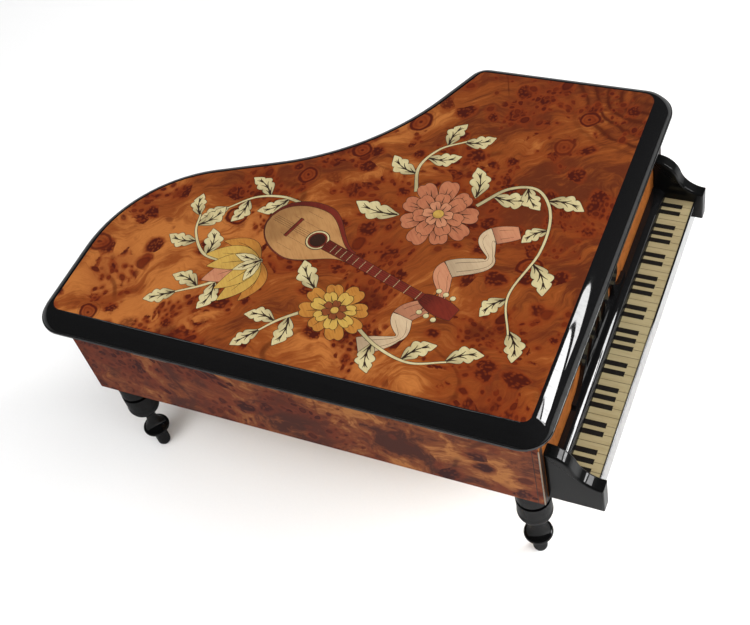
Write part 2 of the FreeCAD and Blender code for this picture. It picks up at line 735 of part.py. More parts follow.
def make_case():
    """Rim of three wooden parts, its veneer skin, and the base board let in at the bottom."""
    veneer = size("case_veneer_thickness")
    wall = size("wall_thickness")
    outer = case_board(0.0, CASE_BOTTOM, RIM_TOP, size("case_corner_round"))
    core = case_board(veneer, CASE_BOTTOM, RIM_TOP)
    room = case_board(veneer + wall, CASE_BOTTOM, RIM_TOP)
    span = (CASE_BOTTOM, RIM_TOP)
    skin = shaped("veneer_skin", outer.cut(core))
    skin_bays = leaf_bays("skin_leaf_bay", CASE_LEAF_BOTTOM, f"({RIM_TOP} + cut_overshoot)", "leaf_web")
    node(cut("case_veneer", skin, *skin_bays), "case_veneer")
    side = block("bass_blank", (WALL_BASS, ROOM_BASS), (WALL_FRONT, WALL_TAIL), span)
    bays = leaf_bays("rim_leaf_bay", CASE_LEAF_BOTTOM, f"({RIM_TOP} + cut_overshoot)", "leaf_web")
    holes = hinge_screws("rim_screw_hole", f"({CASE_LEAF_BOTTOM} - hinge_screw_length)", RIM_TOP)
    node(cut("bass_side", side, *bays, *holes), "bass_side")
    node(block("front_board", (ROOM_BASS, ROOM_TREBLE), (WALL_FRONT, ROOM_FRONT), span), "front_board")
    rim = shaped("rim_ring", core.cut(room))
    straight = block("bass_strip", (WALL_BASS, ROOM_BASS), (WALL_FRONT, WALL_TAIL), span)
    front = block("front_strip", (ROOM_BASS, ROOM_TREBLE), (WALL_FRONT, ROOM_FRONT), span)
    node(cut("bent_side", rim, straight, front), "bent_side")
    board = shaped("base_blank", case_board(veneer + wall, CASE_BOTTOM, FLOOR_TOP))
    drilled = [rod(f"leg_bolt_hole_{count}", x, y, CASE_BOTTOM, "leg_screw_radius", "leg_screw_reach")
               for count, (x, y) in enumerate(leg_places().values())]
    drilled += [rod(f"bed_screw_hole_{count}", x, y, CASE_BOTTOM, "bed_screw_radius", "base_thickness")
                for count, (x, y) in enumerate(foot_places())]
    drilled.append(rod("arbor_hole", BARREL_X, CYLINDER_Y, CASE_BOTTOM, "arbor_hole_radius",
                       "base_thickness"))
    node(cut("base_board", board, *drilled), "base_board")


def make_legs():
    """Turned legs: toe, flanged trumpet, neck ring, bowl, groove and collar, on hanger bolts."""
    flange_top = "(flange_bottom + flange_height)"
    ring_top = "(trumpet_top + neck_ring_height)"
    bowl_drop = f"(bowl_side_bottom - {ring_top})"
    collar_bottom = "(bowl_top + groove_height)"
    corners = [("0", "0"), ("toe_foot_radius", "0"), ("toe_radius", "toe_round"),
               ("toe_radius", "(flange_bottom - flange_under_height)"),
               ("flange_neck_radius", "flange_bottom"), ("flange_neck_radius", flange_top),
               ("trumpet_radius", "trumpet_top"), ("trumpet_radius", ring_top),
               ("bowl_radius", "bowl_side_bottom"), ("bowl_radius", "bowl_top"),
               ("groove_radius", "bowl_top"), ("groove_radius", collar_bottom),
               ("collar_radius", collar_bottom), ("collar_radius", "leg_length"), ("0", "leg_length")]
    bulge = "(flange_radius - flange_neck_radius)"
    ring = "(neck_ring_radius - trumpet_radius)"
    bows = {1: ("toe_round * toe_bow_share", True),
            4: (f"((flange_height / 2) ^ 2 + {bulge} ^ 2) / (2 * {bulge})", True),
            5: (f"(trumpet_top - {flange_top}) * trumpet_bow_share", False),
            6: (f"((neck_ring_height / 2) ^ 2 + {ring} ^ 2) / (2 * {ring})", True),
            7: (f"{bowl_drop} * bowl_bow_share", True)}
    for name, (x, y) in leg_places().items():
        leg = turned_body(name + "_turned", corners, bows)
        place(leg, x, y, "0")
        bore = rod(name + "_bore", x, y, "leg_length - leg_screw_depth", "leg_screw_radius",
                   "leg_screw_depth")
        node(cut(name, leg, bore), name)
    bolts = [rod(f"leg_bolt_{count}", x, y, "leg_length - leg_screw_depth", "leg_screw_radius",
                 "leg_screw_depth + leg_screw_reach")
             for count, (x, y) in enumerate(leg_places().values())]
    node(group("leg_screws", bolts), "leg_screws")


def black_key_places():
    """The number of white keys below each black key, from the bass: F G A B C D E repeated."""
    without_sharp = (3, 6)
    return [step + 1 for step in range(int(size("white_key_count"))) if step % 7 not in without_sharp]


def make_keyboard():
    """Key strip on its bed between two ogee cheeks, with keyslip, fallboard and music desk."""
    keys = (KEYS_BASS, KEYS_TREBLE)
    node(block("keybed", keys, (KEYS_FRONT, CASE_FRONT), (CASE_BOTTOM, KEYBED_TOP)), "keybed")
    node(block("keyslip", keys, (f"({KEYS_FRONT} - keyslip_thickness)", KEYS_FRONT),
               (CASE_BOTTOM, f"({KEY_TOP} + keyslip_rise)")), "keyslip")
    pitch = f"({KEYBOARD_WIDTH} / white_key_count)"
    half = f"({pitch} * black_key_share / 2)"
    lines = [block(f"key_line_{step}", (f"({KEYS_BASS} + {step} * {pitch} - key_line_width / 2)",
                                        f"({KEYS_BASS} + {step} * {pitch} + key_line_width / 2)"),
                   (KEYS_FRONT, KEYS_BACK), (f"({KEY_TOP} - key_line_depth)", KEY_TOP))
             for step in range(1, int(size("white_key_count")))]

    def sharps(name):
        return [block(f"{name}_{step}", (f"({KEYS_BASS} + {step} * {pitch} - {half})",
                                         f"({KEYS_BASS} + {step} * {pitch} + {half})"),
                      (f"({KEYS_BACK} - black_key_length)", KEYS_BACK),
                      (f"({KEY_TOP} - black_key_depth)", KEY_TOP))
                for step in black_key_places()]

    strip = block("key_blank", keys, (KEYS_FRONT, KEYS_BACK), (KEYBED_TOP, KEY_TOP))
    node(cut("white_keys", strip, *lines, *sharps("sharp_seat")), "white_keys")
    node(group("black_keys", sharps("sharp")), "black_keys")
    bar_depth = f"{CASE_FRONT} - {KEYS_BACK}"
    bar_height = f"{FALLBOARD_TOP} - {KEYBED_TOP}"
    bar = [("0", "0"), (bar_depth, "0"), (bar_depth, bar_height), ("fallboard_round", bar_height),
           ("0", f"{bar_height} - fallboard_round")]
    fallboard = padded_body("fallboard", "YZ_Plane", [(bar, {3: ("fallboard_round", True)})], KEYBOARD_WIDTH)
    node(place(fallboard, KEYS_BASS, KEYS_BACK, KEYBED_TOP), "fallboard")
    depth = f"({CASE_FRONT} - {CHEEK_FRONT})"
    fall = "(cheek_top - cheek_front_height)"
    bend = f"(({depth} ^ 2 + {fall} ^ 2) / (4 * {fall}))"
    cheek = [("0", "0"), (depth, "0"), (depth, "cheek_top"),
             (f"({depth} / 2)", "((cheek_top + cheek_front_height) / 2)"), ("0", "cheek_front_height")]
    for name, x in (("bass_cheek", CHEEK_BASS), ("treble_cheek", KEYS_TREBLE)):
        body = padded_body(name, "YZ_Plane", [(cheek, {2: (bend, True), 3: (bend, False)})],
                           "cheek_thickness")
        node(place(body, x, CHEEK_FRONT, CASE_BOTTOM), name)
    make_music_desk()


def make_music_desk():
    """Fretwork desk: ogee sides under a round crown, with two pairs of pointed slots."""
    edge = [("desk_half_width", "0"), ("desk_half_width", "desk_foot_height"),
            ("desk_waist_half_width", "desk_waist_height"),
            ("desk_shoulder_half_width", "desk_shoulder_height"), ("0", "desk_height"),
            ("-desk_shoulder_half_width", "desk_shoulder_height"),
            ("-desk_waist_half_width", "desk_waist_height"),
            ("-desk_half_width", "desk_foot_height"), ("-desk_half_width", "0")]
    bows = {1: ("desk_foot_bow", False), 2: ("desk_shoulder_bow", True), 3: ("desk_crown_bow", True),
            4: ("desk_crown_bow", True), 5: ("desk_shoulder_bow", True), 6: ("desk_foot_bow", False)}
    outlines = [(edge, bows)]
    for sign in ("", "-"):
        inner = [(sign + "inner_slot_offset", "inner_slot_low"),
                 (sign + "inner_slot_offset", "inner_slot_high")]
        outer = [(sign + "outer_slot_low_offset", "outer_slot_low"),
                 (sign + "outer_slot_high_offset", "outer_slot_high")]
        outlines.append((inner, {0: ("inner_slot_bow", True), 1: ("inner_slot_bow", True)}))
        outlines.append((outer, {0: ("outer_slot_bow", True), 1: ("outer_slot_bow", True)}))
    desk = padded_body("music_desk", "XZ_Plane", outlines, "desk_thickness")
    node(place(desk, f"{BASS_EDGE} + desk_from_bass", CASE_FRONT, FALLBOARD_TOP), "music_desk")


def make_compartments():
    """Partitions, cover rails, velvet, ring cushion and the clear cover over the movement."""
    row_end = f"({ROW_BACK} + partition_thickness)"
    height = (FLOOR_TOP, PARTITION_TOP)
    node(block("long_partition", (ROOM_BASS, ROOM_TREBLE), (ROW_BACK, row_end), height), "long_partition")
    node(block("short_partition", (f"({BAY_BASS} - partition_thickness)", BAY_BASS),
               (ROOM_FRONT, ROW_BACK), height), "short_partition")
    rail_low = f"({PARTITION_TOP} - rail_width)"
    front_rail = block("front_rail", (BAY_BASS, ROOM_TREBLE), (ROOM_FRONT, f"({ROOM_FRONT} + rail_width)"),
                       (rail_low, PARTITION_TOP))
    side_rail = block("side_rail", (f"({ROOM_TREBLE} - rail_width)", ROOM_TREBLE),
                      (f"({ROOM_FRONT} + rail_width)", ROW_BACK), (rail_low, PARTITION_TOP))
    node(fuse("cover_rails", front_rail, side_rail), "cover_rails")
    make_velvet(row_end)
    make_ring_cushion()
    make_cover(row_end)


def make_velvet(row_end):
    """Velvet on the floor and walls of the front tray and of the tail compartment."""
    wood = size("case_veneer_thickness + wall_thickness")
    velvet = size("velvet_thickness")
    floor_top = f"({FLOOR_TOP} + velvet_thickness)"
    wall_top = f"({FLOOR_TOP} + velvet_height)"
    tray_top = PARTITION_TOP
    tray_end = f"({BAY_BASS} - partition_thickness)"
    far = f"({CASE_TAIL} + cut_overshoot)"
    wide = (f"({CASE_BASS} - cut_overshoot)", f"({CASE_TREBLE} + cut_overshoot)")
    tail_floor = common("tail_floor", shaped("room_floor", case_board(wood, FLOOR_TOP, floor_top)),
                        block("tail_floor_field", wide, (row_end, far), (FLOOR_TOP, floor_top)))
    tray_floor = block("tray_floor", (ROOM_BASS, tray_end), (ROOM_FRONT, ROW_BACK), (FLOOR_TOP, floor_top))
    node(group("floor_velvet", [tray_floor, tail_floor]), "floor_velvet")
    lining_end = f"({row_end} + velvet_thickness)"
    outer = common("tail_wall_outer", shaped("room_wall", case_board(wood, floor_top, wall_top)),
                   block("tail_outer_field", wide, (row_end, far), (floor_top, wall_top)))
    inner = common("tail_wall_inner", shaped("velvet_face", case_board(wood + velvet, floor_top, wall_top)),
                   block("tail_inner_field", wide, (lining_end, far), (floor_top, wall_top)))
    above = block("above_partition", wide, (row_end, lining_end), (PARTITION_TOP, wall_top))
    tail_wall = cut("tail_wall", outer, inner, above)
    tray = block("tray_wall_outer", (ROOM_BASS, tray_end), (ROOM_FRONT, ROW_BACK), (floor_top, tray_top))
    hollow = block("tray_wall_inner",
                   (f"({ROOM_BASS} + velvet_thickness)", f"({tray_end} - velvet_thickness)"),
                   (f"({ROOM_FRONT} + velvet_thickness)", f"({ROW_BACK} - velvet_thickness)"),
                   (floor_top, tray_top))
    node(group("wall_velvet", [cut("tray_wall", tray, hollow), tail_wall]), "wall_velvet")


def make_ring_cushion():
    """Padded rolls side by side, with a crown, rounded ends and channels to hold rings."""
    low = f"({ROOM_FRONT} + velvet_thickness + cushion_play)"
    high = f"({ROW_BACK} - velvet_thickness - cushion_play)"
    bottom = f"({FLOOR_TOP} + velvet_thickness)"
    centre = f"({bottom} + cushion_height - roll_radius)"
    first = f"({ROOM_BASS} + velvet_thickness + cushion_play + roll_radius)"
    long = f"({high} - {low})"
    half = [("0", "0"), ("roll_radius", "roll_radius"), ("roll_radius", f"({long} - roll_radius)"),
            ("0", long)]
    rolls = []
    for step in range(int(size("roll_count"))):
        roll = turned_body(f"roll_{step}", half, {0: ("roll_radius", True), 2: ("roll_radius", True)})
        rolls.append(place(roll, f"({first} + {step} * roll_pitch)", low, centre, (1, 0, 0), -90.0))
    pad = block("cushion_pad",
                (f"({first} - pad_reach)", f"({first} + (roll_count - 1) * roll_pitch + pad_reach)"),
                (f"({low} + pad_end)", f"({high} - pad_end)"), (bottom, f"({centre} - pad_drop)"))
    node(fuse("ring_cushion", pad, *rolls), "ring_cushion")


def cover_screw_places():
    """The cover's four screws: two into the partitions and two into the rails."""
    low_x = f"({BAY_BASS} - partition_thickness / 2)"
    high_x = f"({ROOM_TREBLE} - cover_screw_inset)"
    low_y = f"({ROOM_FRONT} + cover_screw_inset * 2)"
    high_y = f"({ROW_BACK} - cover_screw_inset * 2)"
    return [(low_x, low_y), (low_x, high_y), (high_x, low_y), (high_x, high_y)]


def make_cover(row_end):
    """Clear cover with the stop rod's bush, held down by four round headed screws."""
    play = "cover_play"
    top = f"({PARTITION_TOP} + cover_thickness)"
    plate = block("cover_plate", (f"({BAY_BASS} - partition_thickness)", f"({ROOM_TREBLE} - {play})"),
                  (f"({ROOM_FRONT} + {play})", row_end), (PARTITION_TOP, top))
    holes = [rod(f"cover_hole_{count}", x, y, PARTITION_TOP, "cover_screw_radius", "cover_thickness")
             for count, (x, y) in enumerate(cover_screw_places())]
    holes.append(rod("bush_hole", ROD_X, BRAKE_Y, PARTITION_TOP, "bush_radius", "cover_thickness"))
    node(cut("movement_cover", plate, *holes), "movement_cover")
    screws = []
    for count, (x, y) in enumerate(cover_screw_places()):
        shank = rod(f"cover_shank_{count}", x, y, PARTITION_TOP, "cover_screw_radius", "cover_thickness")
        head = rod(f"cover_head_{count}", x, y, top, "cover_screw_head_radius", "cover_screw_head_height")
        screws.append(fuse(f"cover_screw_{count}", shank, head))
    node(group("cover_screws", screws), "cover_screws")
    tube = rod("bush_tube", ROD_X, BRAKE_Y, PARTITION_TOP, "bush_radius", "cover_thickness")
    flange = rod("bush_flange", ROD_X, BRAKE_Y, top, "bush_flange_radius", "bush_flange_height")
    bore = rod("bush_bore", ROD_X, BRAKE_Y, PARTITION_TOP, "rod_radius + bush_play",
               "cover_thickness + bush_flange_height")
    node(cut("stop_rod_bush", fuse("bush_body", tube, flange), bore), "stop_rod_bush")


# The movement

def foot_places():
    """The bedplate's three feet: two at the back and one in front."""
    side = "(bed_width / 2 - foot_inset)"
    depth = "(bed_depth / 2 - foot_inset)"
    return [(f"({BED_X} - {side})", f"({BED_Y} + {depth})"),
            (f"({BED_X} + {side})", f"({BED_Y} + {depth})"),
            (f"({BED_X} - {side} / 2)", f"({BED_Y} - {depth})")]


def comb_values():
    """Bound places of the comb: tooth tips, back of the teeth, and its width."""
    tips = f"({CYLINDER_Y} + cylinder_radius + comb_gap)"
    back = f"({BED_Y} + bed_depth / 2)"
    return tips, f"({back} - comb_base_depth)", back


COMB_BOTTOM = f"({CYLINDER_Z} - comb_thickness / 2)"
COMB_LOW_X = f"({CYLINDER_X} - comb_margin)"
COMB_HIGH_X = f"({CYLINDER_X} + {CYLINDER_LENGTH} + comb_margin)"
POST_RIGHT = f"({CYLINDER_X} + {CYLINDER_LENGTH} + post_gap)"
LEVER_POST_FRONT = f"({BRAKE_Y} - lever_half_width - bearing_play * 4 - lever_post_thickness)"


def make_bedplate():
    """Cast bed: feet, comb block, the cylinder's two bearing posts and the lever's post."""
    base_top = f"({FLOOR_TOP} + foot_height)"
    plate = block("bed_plate", (BED_BASS, BED_TREBLE),
                  (f"({BED_Y} - bed_depth / 2)", f"({BED_Y} + bed_depth / 2)"), (base_top, BED_TOP))
    feet = [rod(f"bed_foot_{count}", x, y, FLOOR_TOP, "foot_radius", "foot_height")
            for count, (x, y) in enumerate(foot_places())]
    tips, teeth_back, back = comb_values()
    comb_block = block("comb_block", (COMB_LOW_X, COMB_HIGH_X), (teeth_back, back), (BED_TOP, COMB_BOTTOM))
    post_low = (f"({CYLINDER_Y} - post_half_width)", f"({CYLINDER_Y} + post_half_width)")
    post_top = f"({CYLINDER_Z} + post_cap)"
    left = block("left_post", (f"({CYLINDER_X} - post_gap - post_thickness)", f"({CYLINDER_X} - post_gap)"),
                 post_low, (BED_TOP, post_top))
    right = block("right_post", (POST_RIGHT, f"({POST_RIGHT} + post_thickness)"),
                  (f"({GOVERNOR_Y} - post_half_width)", post_low[1]), (BED_TOP, f"({GOVERNOR_Z} + post_cap)"))
    right_top = block("right_post_top", (POST_RIGHT, f"({POST_RIGHT} + post_thickness)"), post_low,
                      (BED_TOP, post_top))
    lever_post = block("lever_post", (f"({LEVER_PIVOT_X} - lever_post_half_width)",
                                      f"({LEVER_PIVOT_X} + lever_post_half_width)"),
                       (LEVER_POST_FRONT, f"({LEVER_POST_FRONT} + lever_post_thickness)"),
                       (BED_TOP, f"({LEVER_Z} + lever_thickness / 2 + lever_post_half_width)"))
    whole = fuse("bed_body", plate, comb_block, left, right, right_top, lever_post, *feet)
    across = f"{CYLINDER_LENGTH} + 2 * (post_gap + post_thickness)"
    bearings = [rod("cylinder_bearing", f"({CYLINDER_X} - post_gap - post_thickness)", CYLINDER_Y, CYLINDER_Z,
                    "arbor_radius + bearing_play", across, "X"),
                rod("governor_bearing", POST_RIGHT, GOVERNOR_Y, GOVERNOR_Z, "arbor_radius / 2 + bearing_play",
                    "post_thickness", "X"),
                rod("lever_bearing", LEVER_PIVOT_X, LEVER_POST_FRONT, f"({LEVER_Z} + lever_thickness / 2)",
                    "lever_pin_radius + bearing_play", "lever_post_thickness", "Y"),
                rod("winding_bearing", BARREL_X, CYLINDER_Y, base_top, "winding_arbor_radius + bearing_play",
                    "bed_thickness")]
    bearings += [rod(f"foot_hole_{count}", x, y, FLOOR_TOP, "bed_screw_radius", "foot_height + bed_thickness")
                 for count, (x, y) in enumerate(foot_places())]
    bearings += [rod(f"comb_block_hole_{count}", x, y, f"({COMB_BOTTOM} - comb_screw_depth)",
                     "comb_screw_radius", "comb_screw_depth")
                 for count, (x, y) in enumerate(comb_screw_places())]
    bearings += [rod(f"bracket_bed_hole_{count}", x, y, base_top, "governor_screw_radius", "bed_thickness")
                 for count, (x, y) in enumerate(bracket_screw_places())]
    node(cut("bedplate", whole, *bearings), "bedplate")
    screws = []
    for count, (x, y) in enumerate(foot_places()):
        shank = rod(f"bed_shank_{count}", x, y, CASE_BOTTOM, "bed_screw_radius",
                    "base_thickness + foot_height + bed_thickness")
        head = rod(f"bed_head_{count}", x, y, f"({CASE_BOTTOM} - bed_screw_head_height)",
                   "bed_screw_head_radius", "bed_screw_head_height")
        screws.append(fuse(f"bed_screw_{count}", shank, head))
    node(group("movement_screws", screws), "movement_screws")


def gear_face(teeth, module, phase=0.0):
    """A spur gear's face: each tooth is a trapezoid on the root circle, thinner than half the
    pitch so that pairs run with backlash."""
    pitch_radius = module * teeth / 2
    tip = pitch_radius + module * size("addendum_share")
    root = pitch_radius - module * size("dedendum_share")
    pitch = math.pi * module
    thick = pitch * size("tooth_share")
    profile = ((root, thick * size("tooth_root_flare")), (pitch_radius, thick),
               (tip, thick * size("tooth_tip_taper")))
    points = []
    for tooth in range(int(teeth)):
        middle = 2 * math.pi * (tooth + phase) / teeth
        for side in (-1, 1):
            for radius, width in (profile if side < 0 else profile[::-1]):
                angle = middle + side * width / (2 * radius)
                points.append(FreeCAD.Vector(radius * math.cos(angle), radius * math.sin(angle), 0))
    return Part.Face(Part.makePolygon(points + points[:1]))


def spur_gear(name, x, y, z, teeth, module, face, bore, phase=0.0):
    """A spur gear with its axis along X, its first tooth at +Y turned by a share of a tooth."""
    blank = gear_face(size(teeth), size(module), phase).extrude(FreeCAD.Vector(0, 0, size(face)))
    if bore is not None:
        blank = blank.cut(Part.makeCylinder(size(bore), size(face)))
    # The cycle X to Y to Z turns the gear's own axis to X and its first tooth to +Y.
    blank.Placement = FreeCAD.Placement(FreeCAD.Vector(), FreeCAD.Rotation(FreeCAD.Vector(1, 1, 1), 120))
    gear = shaped(name, blank.copy())
    gear.Placement = FreeCAD.Placement(FreeCAD.Vector(size(x), size(y), size(z)), gear.Placement.Rotation)
    return gear


def make_barrel():
    """Spring barrel with a crown of upright teeth, on the winding arbor with its key."""
    addendum = "(crown_module * addendum_share)"
    dedendum = "(crown_module * dedendum_share)"
    drum_bottom = f"({BED_TOP} + barrel_lift)"
    drum_top = f"({CROWN_Z} - {dedendum})"
    drum_radius = f"({CROWN_RADIUS} + crown_face / 2 + barrel_rim)"
    body = rod("barrel_drum", BARREL_X, CYLINDER_Y, drum_bottom, drum_radius, f"{drum_top} - {drum_bottom}")
    hub = rod("barrel_hub", BARREL_X, CYLINDER_Y, f"({BED_TOP} + bearing_play)", "winding_arbor_radius * 2",
              "barrel_lift")
    bore = rod("barrel_bore", BARREL_X, CYLINDER_Y, f"({BED_TOP} + bearing_play)",
               "winding_arbor_radius + barrel_bore_play", "case_height")
    drum = cut("barrel_bored", fuse("barrel_body", body, hub), bore)
    inner = size(CROWN_RADIUS) - size("crown_face") / 2
    outer = size(CROWN_RADIUS) + size("crown_face") / 2
    share = size("tooth_share")
    step = 2 * math.pi / size("crown_teeth")
    low, high = size(drum_top) - size("tooth_sink"), size(CROWN_Z) + size(addendum)
    flare, taper = size("tooth_root_flare"), size("tooth_tip_taper")
    teeth = []
    for count in range(int(size("crown_teeth"))):
        # A tooth gap of the crown stands under the pinion's lowest tooth.
        middle = step * (count + 0.5)
        rings = []
        for radius in (inner, outer):
            along = FreeCAD.Vector(math.cos(middle), math.sin(middle), 0)
            aside = FreeCAD.Vector(-math.sin(middle), math.cos(middle), 0)
            half = radius * step * share / 2
            marks = ((-1, flare, low), (-1, taper, high), (1, taper, high), (1, flare, low))
            ring = [along * radius + aside * (side * half * width) + FreeCAD.Vector(0, 0, height)
                    for side, width, height in marks]
            rings.append(Part.makePolygon(ring + ring[:1]))
        teeth.append(Part.makeLoft(rings, True, True))
    crown = shaped("barrel_crown", Part.makeCompound(teeth))
    crown.Placement.Base = FreeCAD.Vector(size(BARREL_X), size(CYLINDER_Y), 0)
    node(fuse("spring_barrel", drum, crown), "spring_barrel")
    arbor_top = f"({CROWN_Z} - {dedendum} + bearing_play)"
    arbor_bottom = f"({CASE_BOTTOM} - winding_arbor_drop)"
    shaft = rod("winding_shaft", BARREL_X, CYLINDER_Y, arbor_bottom, "winding_arbor_radius",
                f"{arbor_top} - {arbor_bottom}")
    head = rod("winding_head", BARREL_X, CYLINDER_Y, arbor_top, "winding_arbor_head_radius",
               "winding_arbor_head")
    node(fuse("winding_arbor", shaft, head), "winding_arbor")
    make_winding_key()


def make_winding_key():
    """Butterfly key: a stem screwed on the arbor, and two round pierced wings."""
    stem_top = f"({CASE_BOTTOM} - key_stem_gap)"
    stem_bottom = f"({stem_top} - key_stem_length)"
    wing_z = f"({stem_bottom} - key_wing_drop)"
    stem_end = f"({wing_z} - key_stem_tongue)"
    stem = rod("key_stem", BARREL_X, CYLINDER_Y, stem_end, "key_stem_radius", f"{stem_top} - {stem_end}")
    front = f"({CYLINDER_Y} - key_wing_thickness / 2)"
    wings, holes = [], []
    for side in (-1, 1):
        x = f"({BARREL_X} + {side} * key_wing_offset)"
        wings.append(rod(f"key_wing_{side + 1}", x, front, wing_z, "key_wing_radius",
                         "key_wing_thickness", "Y"))
        holes.append(rod(f"key_wing_hole_{side + 1}", x, front, wing_z, "key_wing_hole_radius",
                         "key_wing_thickness", "Y"))
    seat = rod("key_socket", BARREL_X, CYLINDER_Y, f"({CASE_BOTTOM} - winding_arbor_drop)",
               "winding_arbor_radius", "winding_arbor_drop")
    node(cut("winding_key", fuse("key_body", stem, *wings), seat, *holes), "winding_key")


def make_cylinder():
    """Pinned cylinder on its arbor, with the crown's pinion at the left and a gear at the right."""
    tube = rod("drum_outside", CYLINDER_X, CYLINDER_Y, CYLINDER_Z, "cylinder_radius", CYLINDER_LENGTH, "X")
    hollow = rod("drum_hollow", f"({CYLINDER_X} + cylinder_wall)", CYLINDER_Y, CYLINDER_Z,
                 "cylinder_radius - cylinder_wall", f"{CYLINDER_LENGTH} - 2 * cylinder_wall", "X")
    bore = rod("drum_bore", CYLINDER_X, CYLINDER_Y, CYLINDER_Z, "arbor_radius", CYLINDER_LENGTH, "X")
    pins = []
    notes = int(size("note_count"))
    pitch = size(CYLINDER_LENGTH) / notes
    golden = 137.508
    for note in range(notes):
        for beat in range(int(size("pins_per_note"))):
            # Beats are spread by the golden angle, a stand-in for a tune.
            angle = math.radians(golden * (note + notes * beat))
            way = FreeCAD.Vector(0, math.cos(angle), math.sin(angle))
            foot = FreeCAD.Vector(size(CYLINDER_X) + pitch * (note + 0.5), size(CYLINDER_Y), size(CYLINDER_Z))
            start = size("cylinder_radius - cylinder_wall / 2")
            pins.append(Part.makeCylinder(size("pin_radius"), size("cylinder_wall / 2 + pin_height"),
                                          foot + way * start, way))
    studs = shaped("drum_pins", Part.makeCompound(pins))
    node(fuse("cylinder_drum", cut("drum_shell", tube, hollow, bore), studs), "cylinder_drum")
    pinion_x = f"({BARREL_X} + {CROWN_RADIUS} - crown_face / 2)"
    arbor_end = f"({TRAIN_X} + gear_face)"
    shaft = rod("cylinder_shaft", pinion_x, CYLINDER_Y, CYLINDER_Z, "arbor_radius",
                f"{arbor_end} - {pinion_x}", "X")
    node(shaft, "cylinder_arbor")
    # A pinion tooth points straight down, into the crown's gap.
    node(spur_gear("cylinder_pinion", pinion_x, CYLINDER_Y, CYLINDER_Z, "crown_pinion_teeth", "crown_module",
                   "crown_face", "arbor_radius", tooth_at(-90.0, "crown_pinion_teeth")), "cylinder_pinion")
    toward = math.degrees(math.atan2(-size("governor_drop"), -size("governor_step")))
    node(spur_gear("cylinder_gear", TRAIN_X, CYLINDER_Y, CYLINDER_Z, "cylinder_gear_teeth", "train_module",
                   "gear_face", "arbor_radius", tooth_at(toward, "cylinder_gear_teeth")), "cylinder_gear")


def tooth_at(degrees, teeth):
    """The share of a tooth that turns a gear's nearest tooth to a direction in the YZ plane."""
    return (degrees * size(teeth) / 360.0) % 1.0


def comb_screw_places():
    """Two screws through the comb's base."""
    middle = f"({BED_Y} + bed_depth / 2 - comb_base_depth / 2)"
    return [(f"({COMB_LOW_X} + {share} * ({COMB_HIGH_X} - {COMB_LOW_X}))", middle) for share in (0.2, 0.8)]


def make_comb():
    """Steel comb: one tooth for each note, the bass teeth longer, screwed to its block."""
    tips, teeth_back, back = comb_values()
    level = (COMB_BOTTOM, f"({COMB_BOTTOM} + comb_thickness)")
    pieces = [block("comb_base", (COMB_LOW_X, COMB_HIGH_X), (teeth_back, back), level)]
    pitch = f"({CYLINDER_LENGTH} / note_count)"
    for note in range(int(size("note_count"))):
        middle = f"({CYLINDER_X} + {pitch} * {note + 0.5})"
        pieces.append(block(f"comb_tooth_{note}", (f"({middle} - comb_tooth_width / 2)",
                                                   f"({middle} + comb_tooth_width / 2)"),
                            (tips, teeth_back), (f"({CYLINDER_Z} - comb_thickness / 4)", level[1])))
    holes = [rod(f"comb_hole_{count}", x, y, COMB_BOTTOM, "comb_screw_radius", "comb_thickness")
             for count, (x, y) in enumerate(comb_screw_places())]
    node(cut("comb", fuse("comb_body", *pieces), *holes), "comb")
    screws = []
    for count, (x, y) in enumerate(comb_screw_places()):
        shank = rod(f"comb_shank_{count}", x, y, f"({COMB_BOTTOM} - comb_screw_depth)", "comb_screw_radius",
                    "comb_screw_depth + comb_thickness")
        head = rod(f"comb_head_{count}", x, y, level[1], "comb_screw_head_radius", "comb_screw_head_height")
        screws.append(fuse(f"comb_screw_{count}", shank, head))
    node(group("comb_screws", screws), "comb_screws")


BRACKET_RIGHT = BED_TREBLE
BRACKET_LEFT = f"({POST_RIGHT} + post_thickness + post_gap)"


def bracket_screw_places():
    """Two screws that hold the governor bracket's foot to the bedplate."""
    x = f"({BRACKET_RIGHT} - bracket_wall - governor_screw_head_radius * 1.4)"
    return [(x, f"({BED_Y} - bracket_front + governor_screw_head_radius * 1.4)"),
            (x, f"({BED_Y} - bracket_back - governor_screw_head_radius * 1.4)")]


